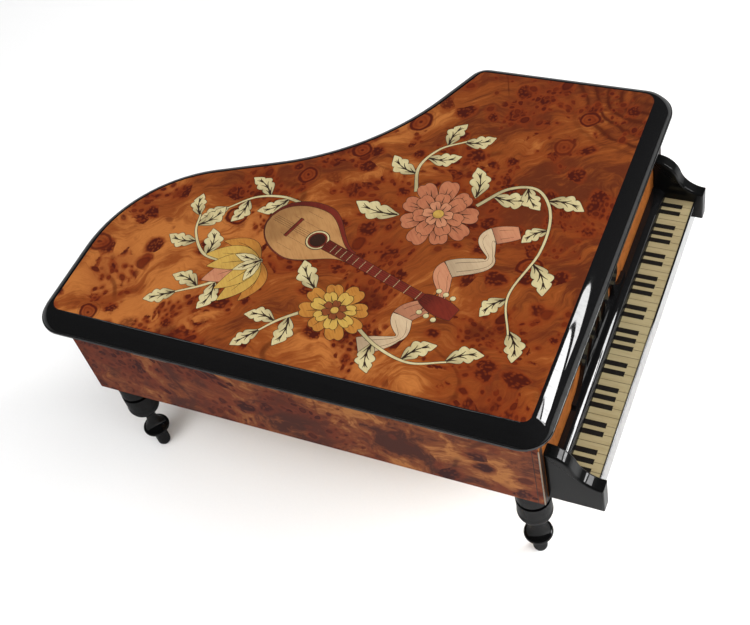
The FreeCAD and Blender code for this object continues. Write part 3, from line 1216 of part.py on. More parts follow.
def make_governor():
    """Bracket, the wheel that the cylinder drives, and the worm with its air brake."""
    foot_top = f"({BED_TOP} + bracket_wall)"
    wall_x = (f"({BRACKET_RIGHT} - bracket_wall)", BRACKET_RIGHT)
    reach = (f"({BED_Y} - bracket_front)", f"({BED_Y} - bracket_back)")
    arm_y = (f"({BRAKE_Y} - bracket_arm_half_width)", f"({BRAKE_Y} + bracket_arm_half_width)")
    foot = block("bracket_foot", (BRACKET_LEFT, BRACKET_RIGHT), reach, (BED_TOP, foot_top))
    wall = block("bracket_wall_plate", wall_x, reach, (BED_TOP, f"({GOVERNOR_Z} + post_cap)"))
    rise = block("bracket_rise", wall_x, arm_y, (BED_TOP, BRAKE_TOP))
    arm = block("bracket_arm", (f"({BRAKE_X} - bracket_arm_half_width)", BRACKET_RIGHT), arm_y,
                (f"({BRAKE_TOP} - bracket_wall)", BRAKE_TOP))
    holes = [rod("brake_bearings", BRAKE_X, BRAKE_Y, f"({BED_TOP} + bracket_wall / 3)",
                 "brake_shaft_radius + bearing_play", "bracket_height"),
             rod("wheel_bearing", wall_x[0], GOVERNOR_Y, GOVERNOR_Z, "arbor_radius / 2 + bearing_play",
                 "bracket_wall", "X")]
    holes += [rod(f"bracket_hole_{count}", x, y, BED_TOP, "governor_screw_radius", "bracket_wall")
              for count, (x, y) in enumerate(bracket_screw_places())]
    node(cut("governor_bracket", fuse("bracket_body", foot, wall, rise, arm), *holes), "governor_bracket")
    screws = []
    for count, (x, y) in enumerate(bracket_screw_places()):
        shank = rod(f"bracket_shank_{count}", x, y, f"({FLOOR_TOP} + foot_height)", "governor_screw_radius",
                    "bed_thickness + bracket_wall")
        head = rod(f"bracket_head_{count}", x, y, foot_top, "governor_screw_head_radius",
                   "governor_screw_head_height")
        screws.append(fuse(f"bracket_screw_{count}", shank, head))
    node(group("governor_screws", screws), "governor_screws")
    toward = math.degrees(math.atan2(size("governor_drop"), size("governor_step")))
    gap = tooth_at(toward, "governor_pinion_teeth") + 0.5
    pinion = spur_gear("governor_pinion", TRAIN_X, GOVERNOR_Y, GOVERNOR_Z, "governor_pinion_teeth",
                       "train_module", "gear_face", None, gap)
    wheel = spur_gear("worm_wheel", WHEEL_X, GOVERNOR_Y, GOVERNOR_Z, "worm_wheel_teeth", "worm_module",
                      "worm_wheel_face", None, tooth_at(180.0, "worm_wheel_teeth"))
    shaft_start = f"({POST_RIGHT} + bearing_play)"
    shaft = rod("governor_shaft", shaft_start, GOVERNOR_Y, GOVERNOR_Z, "arbor_radius / 2",
                f"{BRACKET_RIGHT} - bearing_play - {shaft_start}", "X")
    node(fuse("governor_wheel", pinion, wheel, shaft), "governor_wheel")
    make_air_brake()


def make_air_brake():
    """Upright shaft with a single start right hand worm, two fan blades and a cap."""
    pitch = math.pi * size("worm_module")
    turns = size("worm_length") / pitch
    middle = size(GOVERNOR_Z)
    core = size("worm_core_radius")
    crest = size(WORM_RADIUS) + size("worm_module * addendum_share")
    start = middle - turns * pitch / 2
    helix = Part.makeHelix(pitch, turns * pitch, core)
    inner, outer = core * 0.8, crest
    base, tip = size("worm_tooth_base / 2"), size("worm_tooth_tip / 2")
    ring = [FreeCAD.Vector(inner, 0, -base), FreeCAD.Vector(outer, 0, -tip), FreeCAD.Vector(outer, 0, tip),
            FreeCAD.Vector(inner, 0, base)]
    section = Part.makePolygon(ring + ring[:1])
    thread = Part.Wire(helix.Edges).makePipeShell([section], True, True)
    # The wheel's tooth points at the worm from +Y, so a thread gap faces +Y at mid height.
    facing = 90.0 - 360.0 * (turns / 2) + 180.0
    thread.rotate(FreeCAD.Vector(), FreeCAD.Vector(0, 0, 1), facing)
    worm = shaped("worm_thread", thread)
    worm_foot = FreeCAD.Vector(size(BRAKE_X), size(BRAKE_Y), start)
    worm.Placement = FreeCAD.Placement(worm_foot, worm.Placement.Rotation)
    core_rod = rod("worm_core", BRAKE_X, BRAKE_Y, f"({GOVERNOR_Z} - worm_length / 2 - worm_core_end)",
                   "worm_core_radius", "worm_length + 2 * worm_core_end")
    shaft_bottom = f"({BED_TOP} + bracket_wall / 3 + bearing_play)"
    shaft = rod("brake_shaft", BRAKE_X, BRAKE_Y, shaft_bottom, "brake_shaft_radius",
                f"{BRAKE_TOP} + bearing_play - {shaft_bottom}")
    cap = rod("brake_cap", BRAKE_X, BRAKE_Y, f"({BRAKE_TOP} + bearing_play)", "brake_cap_radius",
              "brake_cap_height - bearing_play")
    blades = block("fan_blades", (f"({BRAKE_X} - fan_radius)", f"({BRAKE_X} + fan_radius)"),
                   (f"({BRAKE_Y} - fan_thickness / 2)", f"({BRAKE_Y} + fan_thickness / 2)"),
                   (f"({FLOOR_TOP} + fan_bottom)", f"({FLOOR_TOP} + fan_bottom + fan_height)"))
    node(fuse("air_brake", core_rod, worm, shaft, cap, blades), "air_brake")


def make_stop():
    """Lever over the air brake's cap, and the rod that the closed lid holds down."""
    strip = block("lever_strip", (f"({LEVER_PIVOT_X} - lever_half_width)", f"({BRAKE_X} + lever_half_width)"),
                  (f"({BRAKE_Y} - lever_half_width)", f"({BRAKE_Y} + lever_half_width)"),
                  (LEVER_Z, f"({LEVER_Z} + lever_thickness)"))
    pin = rod("lever_pin", LEVER_PIVOT_X, LEVER_POST_FRONT, f"({LEVER_Z} + lever_thickness / 2)",
              "lever_pin_radius", f"{BRAKE_Y} - {LEVER_POST_FRONT}", "Y")
    node(fuse("stop_lever", strip, pin), "stop_lever")
    foot = f"({LEVER_Z} + lever_thickness + rod_gap)"
    top = f"({LINING_BOTTOM} - rod_gap)"
    bar = rod("rod_bar", ROD_X, BRAKE_Y, foot, "rod_radius", f"{top} - {foot}")
    collar = rod("rod_collar", ROD_X, BRAKE_Y, f"({foot} + rod_gap)", "rod_collar_radius",
                 "rod_collar_height")
    node(fuse("stop_rod", bar, collar), "stop_rod")


def check_and_write():
    """Stops on any failed feature, then writes each piece's file."""
    doc.recompute()
    failed = [thing.Name for thing in doc.Objects if {"Invalid", "Error"} & set(thing.State)]
    if failed:
        raise RuntimeError("failed features: " + ", ".join(failed))
    os.makedirs("parts", exist_ok=True)
    for piece in NODES:
        if piece.Shape.isNull() or not piece.Shape.isValid():
            raise RuntimeError("bad shape: " + piece.Label)
        piece.Shape.exportStep(f"parts/{piece.Label}.step")
    print(len(NODES), "pieces")


make_lid()
make_hinges()
make_case()
make_legs()
make_keyboard()
make_compartments()
make_bedplate()
make_barrel()
make_cylinder()
make_comb()
make_governor()
make_stop()
check_and_write()
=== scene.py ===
"""Piano music box: finishes, marquetry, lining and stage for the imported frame. Blender's lengths
are metres; the shapes below are worked out in mm along the frame's axes."""
import json
import math
import bpy
import numpy as np
from mathutils import Matrix, Vector


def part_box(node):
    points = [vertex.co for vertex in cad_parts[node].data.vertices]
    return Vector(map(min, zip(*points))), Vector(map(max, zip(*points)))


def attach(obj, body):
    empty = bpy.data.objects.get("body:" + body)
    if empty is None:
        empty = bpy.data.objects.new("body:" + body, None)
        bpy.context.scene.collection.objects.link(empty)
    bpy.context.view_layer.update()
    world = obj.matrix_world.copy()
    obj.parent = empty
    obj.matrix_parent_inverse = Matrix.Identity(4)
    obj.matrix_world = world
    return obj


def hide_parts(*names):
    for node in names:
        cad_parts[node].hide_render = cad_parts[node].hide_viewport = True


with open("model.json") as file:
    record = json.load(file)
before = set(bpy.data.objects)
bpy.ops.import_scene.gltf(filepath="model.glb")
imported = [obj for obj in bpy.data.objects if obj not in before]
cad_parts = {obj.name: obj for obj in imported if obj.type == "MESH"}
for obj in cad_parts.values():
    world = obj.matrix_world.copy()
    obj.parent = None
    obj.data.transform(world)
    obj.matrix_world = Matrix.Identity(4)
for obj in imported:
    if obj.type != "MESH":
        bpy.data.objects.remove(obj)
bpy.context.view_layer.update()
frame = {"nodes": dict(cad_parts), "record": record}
parts = frame["nodes"]

MM = 0.001
PANEL_TOP = round(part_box("lid_veneer")[1].z / MM, 3)
LACQUER_TOP = round(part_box("lid_moulding")[1].z / MM, 3)
CASE_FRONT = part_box("case_veneer")[0].y / MM
WHITE_KEYS = 35


# Shader recipes

class Wire:
    """A number in a material. Python arithmetic on it adds Math nodes."""

    def __init__(self, recipe, socket):
        self.recipe = recipe
        self.socket = socket

    def calc(self, operation, *others):
        return self.recipe.add("Math", {"operation": operation}, self, *others)

    def __add__(self, other):
        return self.calc("ADD", other)

    def __sub__(self, other):
        return self.calc("SUBTRACT", other)

    def __mul__(self, other):
        return self.calc("MULTIPLY", other)

    def __rsub__(self, other):
        return self.recipe.add("Math", {"operation": "SUBTRACT"}, other, self)

    def ramp(self, low, high):
        """0 below low, 1 above high and a smooth step between."""
        return self.recipe.add("MapRange", {"interpolation_type": "SMOOTHSTEP"},
                               self, low, high, 0.0, 1.0)

    def wave(self):
        """Sine of the number, moved to run from 0 to 1."""
        return self.calc("SINE") * 0.5 + 0.5

    def beside(self, output):
        """Another output of the node that this wire leaves."""
        return Wire(self.recipe, self.socket.node.outputs[output])


class Recipe:
    """A material in the making. add() puts in any node; surface() closes it with its shader.
    Scales are a number per metre, and places, reaches and depths are in metres."""

    def __init__(self, name):
        self.material = bpy.data.materials.new(name)
        self.material.use_nodes = True
        self.tree = self.material.node_tree
        self.tree.nodes.clear()
        self.place = self.add("TexCoord", out="Object")

    def add(self, kind, settings=None, *values, out=0, **named):
        """A shader node of a kind: its settings first, then its sockets by order and by name. A
        wire is linked, a colour or a number is set, and None leaves the socket alone."""
        node = self.tree.nodes.new("ShaderNode" + kind)
        for key, value in (settings or {}).items():
            setattr(node, key, value)
        for key, value in [*enumerate(values), *((k.replace("_", " "), v) for k, v in named.items())]:
            socket = node.inputs[key]
            if isinstance(value, Wire):
                self.tree.links.new(value.socket, socket)
            elif value is not None:
                socket.default_value = (*value, 1.0) if socket.type == "RGBA" else value
        return Wire(self, node.outputs[out])

    def noise(self, at, scale, detail=2.0, rough=0.5, out="Fac"):
        return self.add("TexNoise", None, at, None, scale, detail, rough, out=out)

    def streaks(self, at, scales, detail=3.0, rough=0.5, turn=0.0):
        """Noise with its own scale along each of three axes, which are turned about Z."""
        seen = self.add("Mapping", {"vector_type": "TEXTURE"}, at, (0, 0, 0), (0, 0, turn),
                        tuple(1 / scale for scale in scales))
        return self.noise(seen, 1.0, detail, rough)

    def cells(self, at, scale, spread=1.0, shape="3D"):
        """Distance to the middles of scattered cells, as a share of a cell."""
        return self.add("TexVoronoi", {"voronoi_dimensions": shape}, at, None, scale,
                        Randomness=spread, out="Distance")

    def channel(self, color, which):
        return self.add("SeparateColor", None, color, out=which)

    def axis(self, at, which):
        return self.add("SeparateXYZ", None, at, out=which)

    def shift(self, at, amount, x, y):
        """The place moved along (x, y) by amount."""
        return self.add("VectorMath", {"operation": "MULTIPLY_ADD"}, amount, (x, y, 0.0), at)

    def nudge(self, at, scale, reach, detail=2.0):
        """The place moved by up to half of reach along each axis, following a smooth noise."""
        push = self.add("VectorMath", {"operation": "SUBTRACT"},
                        self.noise(at, scale, detail, out="Color"), (0.5, 0.5, 0.5))
        return self.add("VectorMath", {"operation": "MULTIPLY_ADD"}, push, (reach,) * 3, at)

    def blend(self, first, second, share, mode="MIX"):
        """Two colours mixed by share; a colour is a tuple or a wire. The colours are the node's
        seventh and eighth sockets."""
        kind = {"data_type": "RGBA", "blend_type": mode}
        return self.add("Mix", kind, share, *[None] * 5, first, second, out=2)

    def surface(self, color, rough=0.5, bump=None, depth=0.0001, **others):
        """Closes the material with its shader, whose normal follows the bump's height."""
        if bump is not None:
            others["Normal"] = self.add("Bump", None, Strength=1.0, Distance=depth,
                                        Height=bump, out="Normal")
        shader = self.add("BsdfPrincipled", None, Base_Color=color, Roughness=rough, **others)
        end = self.tree.nodes.new("ShaderNodeOutputMaterial")
        self.tree.links.new(shader.socket, end.inputs[0])
        return self.material


FIGURE_TURN = -0.95     # the grain runs from the tail's bass corner to the keyboard's treble end
RING_MIDDLE = (0.100, -0.106, LACQUER_TOP * MM)     # just off the lid's treble front corner


def tinted(color, *factors):
    """A colour with its channels scaled by three factors, or all by one."""
    return tuple(channel * factor for channel, factor in zip(color, factors * 3))


def burl(name, gold, middle, brown, shape="3D", plump=1.0, bare=0.475, fade=4.6, front=None,
         gather=0.0, bold=1.0, aged=1.0, **gloss):
    """Burl veneer. Slow noise says where the burl is dense, and gather makes it denser along Y.
    Burls are scattered round patches filled with small cells, each pale in its middle and dark
    at its rim. Eyes are single cells, let through where the burl is denser than a cell's own
    number, each with a darker rim and a warm halo. The grain's lines bend round the burls
    because the place they read is pushed across the grain by the burl's height. Growth rings
    are contour lines of the noisy distance to one corner, and aged says how strongly they show.
    bare is the density at which burls start, plump their size, bold the ground's contrast, fade
    how it darkens to one side, which is partly the veneer's own tone and partly painted light
    falloff, and front the colour of the case's front."""
    r = Recipe(name)
    slow = r.nudge(r.place, 15.0, 0.024)
    flow = r.nudge(slow, 85.0, 0.0050)
    eye = tinted(brown, 0.50, 0.26, 0.34)
    warm = tinted(middle, 0.78, 0.50, 0.50)
    fuzz = r.noise(flow, 420.0, 3.0, 0.65) - 0.5
    dense = r.noise(slow, 30.0, 2.5, 0.55) + r.axis(r.place, "Y") * gather
    patch = (dense + fuzz * 0.06).ramp(bare, bare + 0.12)

    # Ground: broad tones, then lines that bend round the burls
    bent = r.shift(flow, dense, 0.034, 0.024)
    streak = r.streaks(bent, (12.0, 55.0, 40.0), 3.0, 0.6, FIGURE_TURN)
    tone = r.noise(r.nudge(slow, 26.0, 0.030, 1.0), 24.0, 4.0, 0.62)
    line = r.streaks(bent, (60.0, 420.0, 300.0), 5.0, 0.72, FIGURE_TURN)
    hair = r.streaks(bent, (300.0, 2400.0, 1600.0), 3.0, 0.7, FIGURE_TURN)
    # Darkening to one side: partly the veneer's own tone, partly painted light falloff
    tone_and_falloff = (r.axis(r.place, "X") * 0.30 - r.axis(r.place, "Y") * 0.50) * fade
    growth = r.add("VectorMath", {"operation": "DISTANCE"}, r.nudge(slow, 40.0, 0.012),
                   RING_MIDDLE, out="Value")
    young = (0.060 - growth).ramp(0.0, 0.014)
    patch = patch * (1.0 - young * 0.65)
    pale = (0.034 - growth).ramp(0.0, 0.014)
    rich = ((streak - 0.5) * 2.2 + (tone - 0.5) * 2.0 + (line - 0.5) * 1.5) * bold
    rich = rich - tone_and_falloff + pale * 0.35 + 0.47
    ground = r.blend(r.blend(brown, middle, rich.ramp(0.0, 0.5)), gold, rich.ramp(0.5, 1.0))
    ground = r.blend(ground, (0.70, 0.62, 0.55), hair.ramp(0.38, 0.72) * 0.45, "MULTIPLY")
    thread = r.noise(r.nudge(slow, 20.0, 0.040, 1.0), 11.0, 1.0, 0.4)
    thread = (1.0 - (thread - 0.5).calc("ABSOLUTE") * 120.0).ramp(0.0, 0.8)
    thread = thread * r.noise(slow, 33.0, 1.0).ramp(0.45, 0.60)
    ring = (growth * 1050.0 + line * 2.5).wave()
    ring = ring.ramp(0.0, 0.95) * 0.50 + ring.ramp(0.65, 1.0) * 0.45
    ring = ring * (growth - 0.020).ramp(0.0, 0.008) * young * aged
    ground = r.blend(ground, tinted(brown, 0.52, 0.42, 0.35), ring.calc("MAXIMUM", thread * 0.62))
    halo = (dense + fuzz * 0.10).ramp(bare - 0.05, bare + 0.14) * (1.0 - young * 0.7) * 0.50
    ground = r.blend(ground, warm, halo)

    # Round burls full of small cells
    burl_cell = r.cells(flow, 96.0 / plump, 1.0, shape)
    owner = burl_cell.beside("Color")
    kept = (patch * 0.56 + 0.34 - young * 0.22 - r.channel(owner, "Green")).ramp(-0.02, 0.06)
    edge = r.channel(owner, "Blue") * 0.30 + 0.19 - burl_cell + fuzz * 0.22
    roe = r.cells(flow, 560.0 / plump, 1.0, shape) + fuzz * 0.35
    hue = r.blend(ground, warm, (edge + 0.14).ramp(0.0, 0.20) * kept * 0.80)
    hue = r.blend(hue, tinted(brown, 0.85, 0.55, 0.5), edge.ramp(0.04, 0.26) * kept * 0.55)
    hue = r.blend(hue, eye, edge.ramp(0.0, 0.14) * kept * (roe.ramp(0.10, 0.46) * 0.88 + 0.08))

    # Eyes: grape-like in the dense wood, then scattered ones and single great ones
    for scale, least, spread, share, lone, soft in ((290.0, 0.20, 0.26, 0.74, 0.03, 0.18),
                                                    (150.0, 0.13, 0.19, 0.38, 0.09, 0.12),
                                                    (70.0, 0.11, 0.14, 0.12, 0.13, 0.07)):
        cell = r.cells(flow, scale, 0.95, shape)
        own = cell.beside("Color")
        size = (r.channel(own, "Blue") * spread + least) * plump
        seen = (patch * share + lone - r.channel(own, "Green")).ramp(-0.02, 0.10)
        cell = cell + fuzz * (soft * 1.5)
        glow = (size + soft * 2.0 - cell).ramp(0.0, soft * 2.6) * seen
        disc = (size - cell).ramp(0.0, soft) * seen
        core = (size * 0.60 - cell + fuzz * 0.14).ramp(-soft * 0.3, soft * 0.5) * seen
        depth = r.channel(own, "Red") * 0.40 + 0.60
        hue = r.blend(hue, warm, glow * 0.78)
        hue = r.blend(hue, eye, disc * depth)
        hue = r.blend(hue, tinted(warm, 0.80, 0.66, 0.6), core * (1.22 - depth))

    # Whorls: seldom great cells with rings about a heart
    great = r.cells(flow, 32.0, 1.0, shape)
    seldom = r.channel(great.beside("Color"), "Blue").ramp(0.76, 0.78)
    great = great + fuzz * 0.030
    bowl = (0.19 - great).ramp(0.0, 0.05) * seldom
    rings = (great * 84.0 + 2.6).wave().ramp(0.10, 0.85) * (0.205 - great).ramp(0.0, 0.02) * seldom
    rings = rings * (great - 0.04).ramp(0.0, 0.08)
    heart = (0.035 - great).ramp(0.0, 0.02) * seldom
    hue = r.blend(hue, warm, bowl * 0.85)
    hue = r.blend(hue, eye, (rings * 0.90).calc("MAXIMUM", heart * 0.9))
    deep = (dense + fuzz * 0.16).ramp(0.60, 0.70)
    hue = r.blend(hue, eye, deep * 0.62)
    if front is not None:
        at_front = (CASE_FRONT * MM + 0.0004 - r.axis(r.place, "Y")).ramp(0.0, 0.0002)
        plain = r.blend(front, tinted(front, 0.5), line.ramp(0.4, 0.7))
        hue = r.blend(hue, plain, at_front)
    return r.surface(hue, 0.5, line, 0.00001, Coat_Roughness=0.03, Specular_IOR_Level=0.02, **gloss)


def lacquer(name, color, gloss, index=2.0, base=1.0):
    """Sprayed lacquer: a coat of the given gloss and index over a dull ground. Its slow ripple
    bends what it mirrors, and faint rubbing marks weaken the coat."""
    r = Recipe(name)
    ripple = r.noise(r.place, 75.0, 2.0, 0.4)
    rub = r.streaks(r.place, (700.0, 90.0, 300.0))
    coat = gloss - rub.ramp(0.45, 0.8) * (gloss * 0.25)
    return r.surface(color, 0.3, ripple, 0.00007, IOR=base, Coat_Weight=coat, Coat_IOR=index,
                     Coat_Roughness=0.025)


def plain_wood(name, pale, dark):
    """Fine straight grain along Y with darker growth lines."""
    r = Recipe(name)
    grain = r.streaks(r.nudge(r.place, 30.0, 0.004), (500.0, 25.0, 500.0), 4.0, 0.6)
    rings = r.streaks(r.place, (70.0, 4.0, 70.0), 2.0)
    color = r.blend(pale, dark, grain.ramp(0.4, 0.75) * 0.6 + rings.ramp(0.45, 0.7) * 0.3)
    return r.surface(color, 0.6, grain, 0.00005, Specular_IOR_Level=0.1)


def metal(name, color, rough, along=(1200.0, 60.0, 1200.0)):
    """Brushed or turned metal: fine lines along one axis in the roughness and the bump."""
    r = Recipe(name)
    lines = r.streaks(r.place, along, 3.0, 0.6)
    stain = r.noise(r.place, 160.0, 3.0, 0.6)
    shade = r.blend(color, tinted(color, 0.62), stain.ramp(0.45, 0.75) * 0.5)
    return r.surface(shade, lines * rough + rough * 0.4, lines, 0.00001, Metallic=1.0)


def dyed(name, color, deep):
    """Cut veneer, dyed and scorched at its base in hot sand, under the lid's gloss lacquer."""
    r = Recipe(name)
    grain = r.streaks(r.place, (160.0, 1100.0, 900.0), 3.0, 0.65, 0.7)
    cloud = r.noise(r.place, 140.0, 2.0)
    seat = r.add("UVMap", {"uv_map": "spread"})
    scorch = (0.55 - r.axis(seat, "Y") + (cloud - 0.5) * 0.5).ramp(0.0, 0.55)
    tint = r.blend(color, deep, grain.ramp(0.42, 0.70) * 0.6 + cloud.ramp(0.45, 0.65) * 0.3)
    tint = r.blend(tint, tinted(deep, 0.42), scorch * 0.50)
    return r.surface(tint, 0.45, grain, 0.00001, Coat_Weight=1.0, Coat_Roughness=0.03,
                     Specular_IOR_Level=0.12)


def ivory(name, color, deep):
    """Printed key strip: tan sheet with faint fibres, scorched brown spots and dark joints, which
    lie where the keyboard's width over its keys comes out whole."""
    r = Recipe(name)
    low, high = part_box("white_keys")
    keys_per_metre = WHITE_KEYS / (high.x - low.x)
    joint = ((r.axis(r.place, "X") - low.x) * keys_per_metre + 0.5).calc("FRACT") - 0.5
    joint = (0.030 - joint.calc("ABSOLUTE")).ramp(0.0, 0.010)
    fibre = r.streaks(r.place, (700.0, 90.0, 300.0), 3.0, 0.6)
    scorch = r.streaks(r.place, (260.0, 330.0, 100.0), 3.0, 0.7)
    tone = r.blend(color, deep, fibre.ramp(0.42, 0.7) * 0.5)
    tone = r.blend(tone, (0.10, 0.045, 0.015), scorch.ramp(0.66, 0.80) * 0.8)
    tone = r.blend(tone, (0.030, 0.018, 0.010), joint * 0.85)
    return r.surface(tone, 0.34, fibre, 0.00001, Coat_Weight=0.3, Coat_Roughness=0.15,
                     Specular_IOR_Level=0.2)


def velvet(name, color):
    """Short pile: a pale sheen at grazing angles and patches where it lies over."""
    r = Recipe(name)
    pile = r.noise(r.place, 2600.0, 2.0, 0.6)
    brushed = r.noise(r.place, 70.0, 3.0, 0.6)
    shade = r.blend(color, tinted(color, 2.1), brushed.ramp(0.4, 0.7) * 0.5)
    shade = r.blend(shade, tinted(color, 0.4), pile.ramp(0.45, 0.75) * 0.5)
    return r.surface(shade, 0.9, pile, 0.0003, Sheen_Weight=0.30, Sheen_Roughness=0.4,
                     Specular_IOR_Level=0.1)


def clear_window(name):
    """Clear acrylic with faint wiping marks in its gloss."""
    r = Recipe(name)
    wipe = r.streaks(r.place, (60.0, 400.0, 60.0), turn=0.4)
    return r.surface((0.93, 0.96, 0.95), wipe.ramp(0.3, 0.8) * 0.06 + 0.02, None,
                     Transmission_Weight=1.0, IOR=1.49)


finishes = {
    "burl_veneer": burl("burl_veneer", (0.335, 0.113, 0.025), (0.184, 0.044, 0.0080), (0.084, 0.0165, 0.0045),
                        "2D", Coat_Weight=1.0),
    "side_veneer": burl("side_veneer", (0.34, 0.130, 0.036), (0.160, 0.042, 0.013), (0.050, 0.012, 0.007),
                        plump=1.5, bare=0.44, fade=-1.5, front=(0.19, 0.060, 0.013), gather=0.50, bold=1.35,
                        aged=0.30, Coat_Weight=0.045, Coat_IOR=2.0),
}
for make, name, *values in (
        (lacquer, "black_lacquer", (0.0035, 0.0035, 0.0037), 0.27),
        (lacquer, "front_lacquer", (0.0045, 0.0045, 0.0047), 1.0, 1.55),
        (lacquer, "satin_black", (0.0025, 0.0026, 0.0026), 0.050, 3.0, 1.08),
        (lacquer, "turned_black", (0.0016, 0.0016, 0.0017), 0.10, 2.2, 1.03),
        (lacquer, "ebony_keys", (0.008, 0.007, 0.006), 0.15),
        (plain_wood, "case_wood", (0.42, 0.27, 0.14), (0.24, 0.13, 0.06)),
        (plain_wood, "ebony_line", (0.016, 0.008, 0.005), (0.009, 0.005, 0.003)),
        (plain_wood, "stringing", (0.22, 0.19, 0.15), (0.15, 0.12, 0.09)),
        (ivory, "ivory_keys", (0.240, 0.198, 0.108), (0.180, 0.138, 0.066)),
        (velvet, "red_velvet", (0.24, 0.008, 0.016)),
        (clear_window, "clear_window"),
        (dyed, "maple", (0.44, 0.375, 0.20), (0.35, 0.28, 0.135)),
        (dyed, "straw", (0.39, 0.245, 0.052), (0.30, 0.165, 0.033)),
        (dyed, "amber", (0.33, 0.14, 0.024), (0.24, 0.085, 0.014)),
        (dyed, "rust", (0.16, 0.042, 0.011), (0.09, 0.022, 0.007)),
        (dyed, "rosewood", (0.32, 0.115, 0.055), (0.24, 0.072, 0.034)),
        (dyed, "blush", (0.38, 0.165, 0.085), (0.30, 0.11, 0.06)),
        (dyed, "rose_white", (0.42, 0.31, 0.19), (0.34, 0.235, 0.14)),
        (dyed, "spruce", (0.33, 0.17, 0.062), (0.25, 0.115, 0.038)),
        (dyed, "padauk", (0.12, 0.014, 0.007), (0.075, 0.009, 0.005)),
        (dyed, "scorched", (0.022, 0.008, 0.004), (0.013, 0.005, 0.002)),
        (metal, "brass", (0.72, 0.47, 0.17), 0.3),
        (metal, "aged_brass", (0.11, 0.060, 0.026), 0.45),
        (metal, "steel", (0.55, 0.55, 0.56), 0.35),
        (metal, "cast_bed", (0.42, 0.42, 0.43), 0.55, (300.0, 300.0, 300.0)),
        (metal, "fan_plastic", (0.75, 0.73, 0.68), 0.4)):
    finishes[name] = make(name, *values)

# Nodes whose finish isn't that of their slot
apart = {"keybed": "front_lacquer",
         **dict.fromkeys(("front_bass_leg", "front_treble_leg", "tail_leg"), "turned_black"),
         **dict.fromkeys(("hinge_case_leaves", "hinge_lid_leaves", "hinge_pins"), "aged_brass")}
slot_of = {piece["node"]: piece["material_slot"] for piece in frame["record"]["subparts"]}
for label, part in parts.items():
    part.data.materials.clear()
    part.data.materials.append(finishes[apart.get(label, slot_of[label])])


# Meshes

def put_in(name, data):
    """A new object in the scene."""
    thing = bpy.data.objects.new(name, data)
    bpy.context.scene.collection.objects.link(thing)
    return thing


def make_piece(name, vertices, faces, finish, body, slot=None, spread=None, crease=35.0, stands_for=()):
    """One smooth mesh in place, from points in mm and arrays of faces. A closed shape whose
    signed volume is negative is turned inside out. The slot argument is not used, and spread
    is a UV pair for each vertex."""
    points = np.asarray(vertices, float)
    volume = 0.0
    for group in faces:
        for corner in range(1, group.shape[1] - 1):
            first, second, third = (points[group[:, place]] for place in (0, corner, corner + 1))
            volume += np.sum(first * np.cross(second, third))
    way = 1 if volume > 0 else -1
    polygons = [face for group in faces for face in group[:, ::way].tolist()]
    mesh = bpy.data.meshes.new(name)
    mesh.from_pydata((points * MM).tolist(), [], polygons)
    mesh.shade_smooth()
    mesh.set_sharp_from_angle(angle=math.radians(crease))
    if spread is not None:
        loops = np.empty(len(mesh.loops), np.int32)
        mesh.loops.foreach_get("vertex_index", loops)
        mesh.uv_layers.new(name="spread").data.foreach_set("uv", np.asarray(spread)[loops].ravel())
    mesh.materials.append(finishes[finish])
    piece = put_in(name, mesh)
    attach(piece, body)
    if stands_for:
        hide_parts(*stands_for)
    return piece


def span(label):
    """Lowest and highest corner of a CAD node, in mm."""
    low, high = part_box(label)
    return np.array(low) / MM, np.array(high) / MM


def quads(count, wide, wrap_rows=False, wrap_columns=False):
    """Faces of a grid of count rows and wide columns, which may close on itself either way."""
    rows = np.arange(count if wrap_rows else count - 1)[:, None]
    columns = np.arange(wide if wrap_columns else wide - 1)[None, :]
    below, beside = (rows + 1) % count, (columns + 1) % wide
    corners = rows * wide + columns, rows * wide + beside, below * wide + beside, below * wide + columns
    return np.stack(corners, -1).reshape(-1, 4)


def grown(loop, reach):
    """A closed outline moved outward by reach: each point goes along (m + n) / (1 + m.n), where
    m and n are the outward normals of its two edges. A clockwise outline moves outward too."""
    edge = np.roll(loop, -1, 0) - loop
    edge /= np.maximum(np.linalg.norm(edge, axis=1, keepdims=True), 1e-9)
    normal = np.stack([edge[:, 1], -edge[:, 0]], 1)
    before = np.roll(normal, 1, 0)
    mitre = (before + normal) / np.maximum(1 + np.sum(before * normal, 1, keepdims=True), 0.35)
    after = np.roll(loop, -1, 0)
    area = np.sum(loop[:, 0] * after[:, 1] - loop[:, 1] * after[:, 0])
    return loop + mitre * reach * np.sign(area)


GUARD = 0.06      # flat rim kept beside each rounding, so that flat faces stay flat in the gloss


def corner_arc(corners, place, radius, outset=0.0, steps=None):
    """Points and outward normals of the arc that rounds a corner of an outline, a counter-clockwise
    one. The arc starts at corner - way in * radius tan(turn / 2), and each point is centre +
    n (radius + outset), with a hollow corner's radius negative."""
    arriving = corners[place] - corners[place - 1]
    leaving = corners[(place + 1) % len(corners)] - corners[place]
    arriving, leaving = arriving / np.linalg.norm(arriving), leaving / np.linalg.norm(leaving)
    turn = math.atan2(arriving[0] * leaving[1] - arriving[1] * leaving[0], arriving @ leaving)
    bend = math.copysign(radius, turn)
    first = np.array([arriving[1], -arriving[0]])
    centre = corners[place] - arriving * radius * math.tan(abs(turn) / 2) - first * bend
    steps = steps or int(12 + abs(turn) * radius / 2.5)
    angle = math.atan2(first[1], first[0]) + np.linspace(0, turn, steps)
    normal = np.stack([np.cos(angle), np.sin(angle)], -1)
    points = centre + normal * (bend + outset)
    points = np.vstack([points[:1] - arriving * GUARD, points, points[-1:] + leaving * GUARD])
    return points, np.vstack([normal[:1], normal, normal[-1:]])


def rounded(corners, radii, steps=9):
    """A closed outline with an arc at each corner that has a radius."""
    corners = np.asarray(corners, float)
    return np.vstack([corner_arc(corners, place, radius, 0.0, steps)[0] if radius else corners[place]
                      for place, radius in enumerate(radii)])


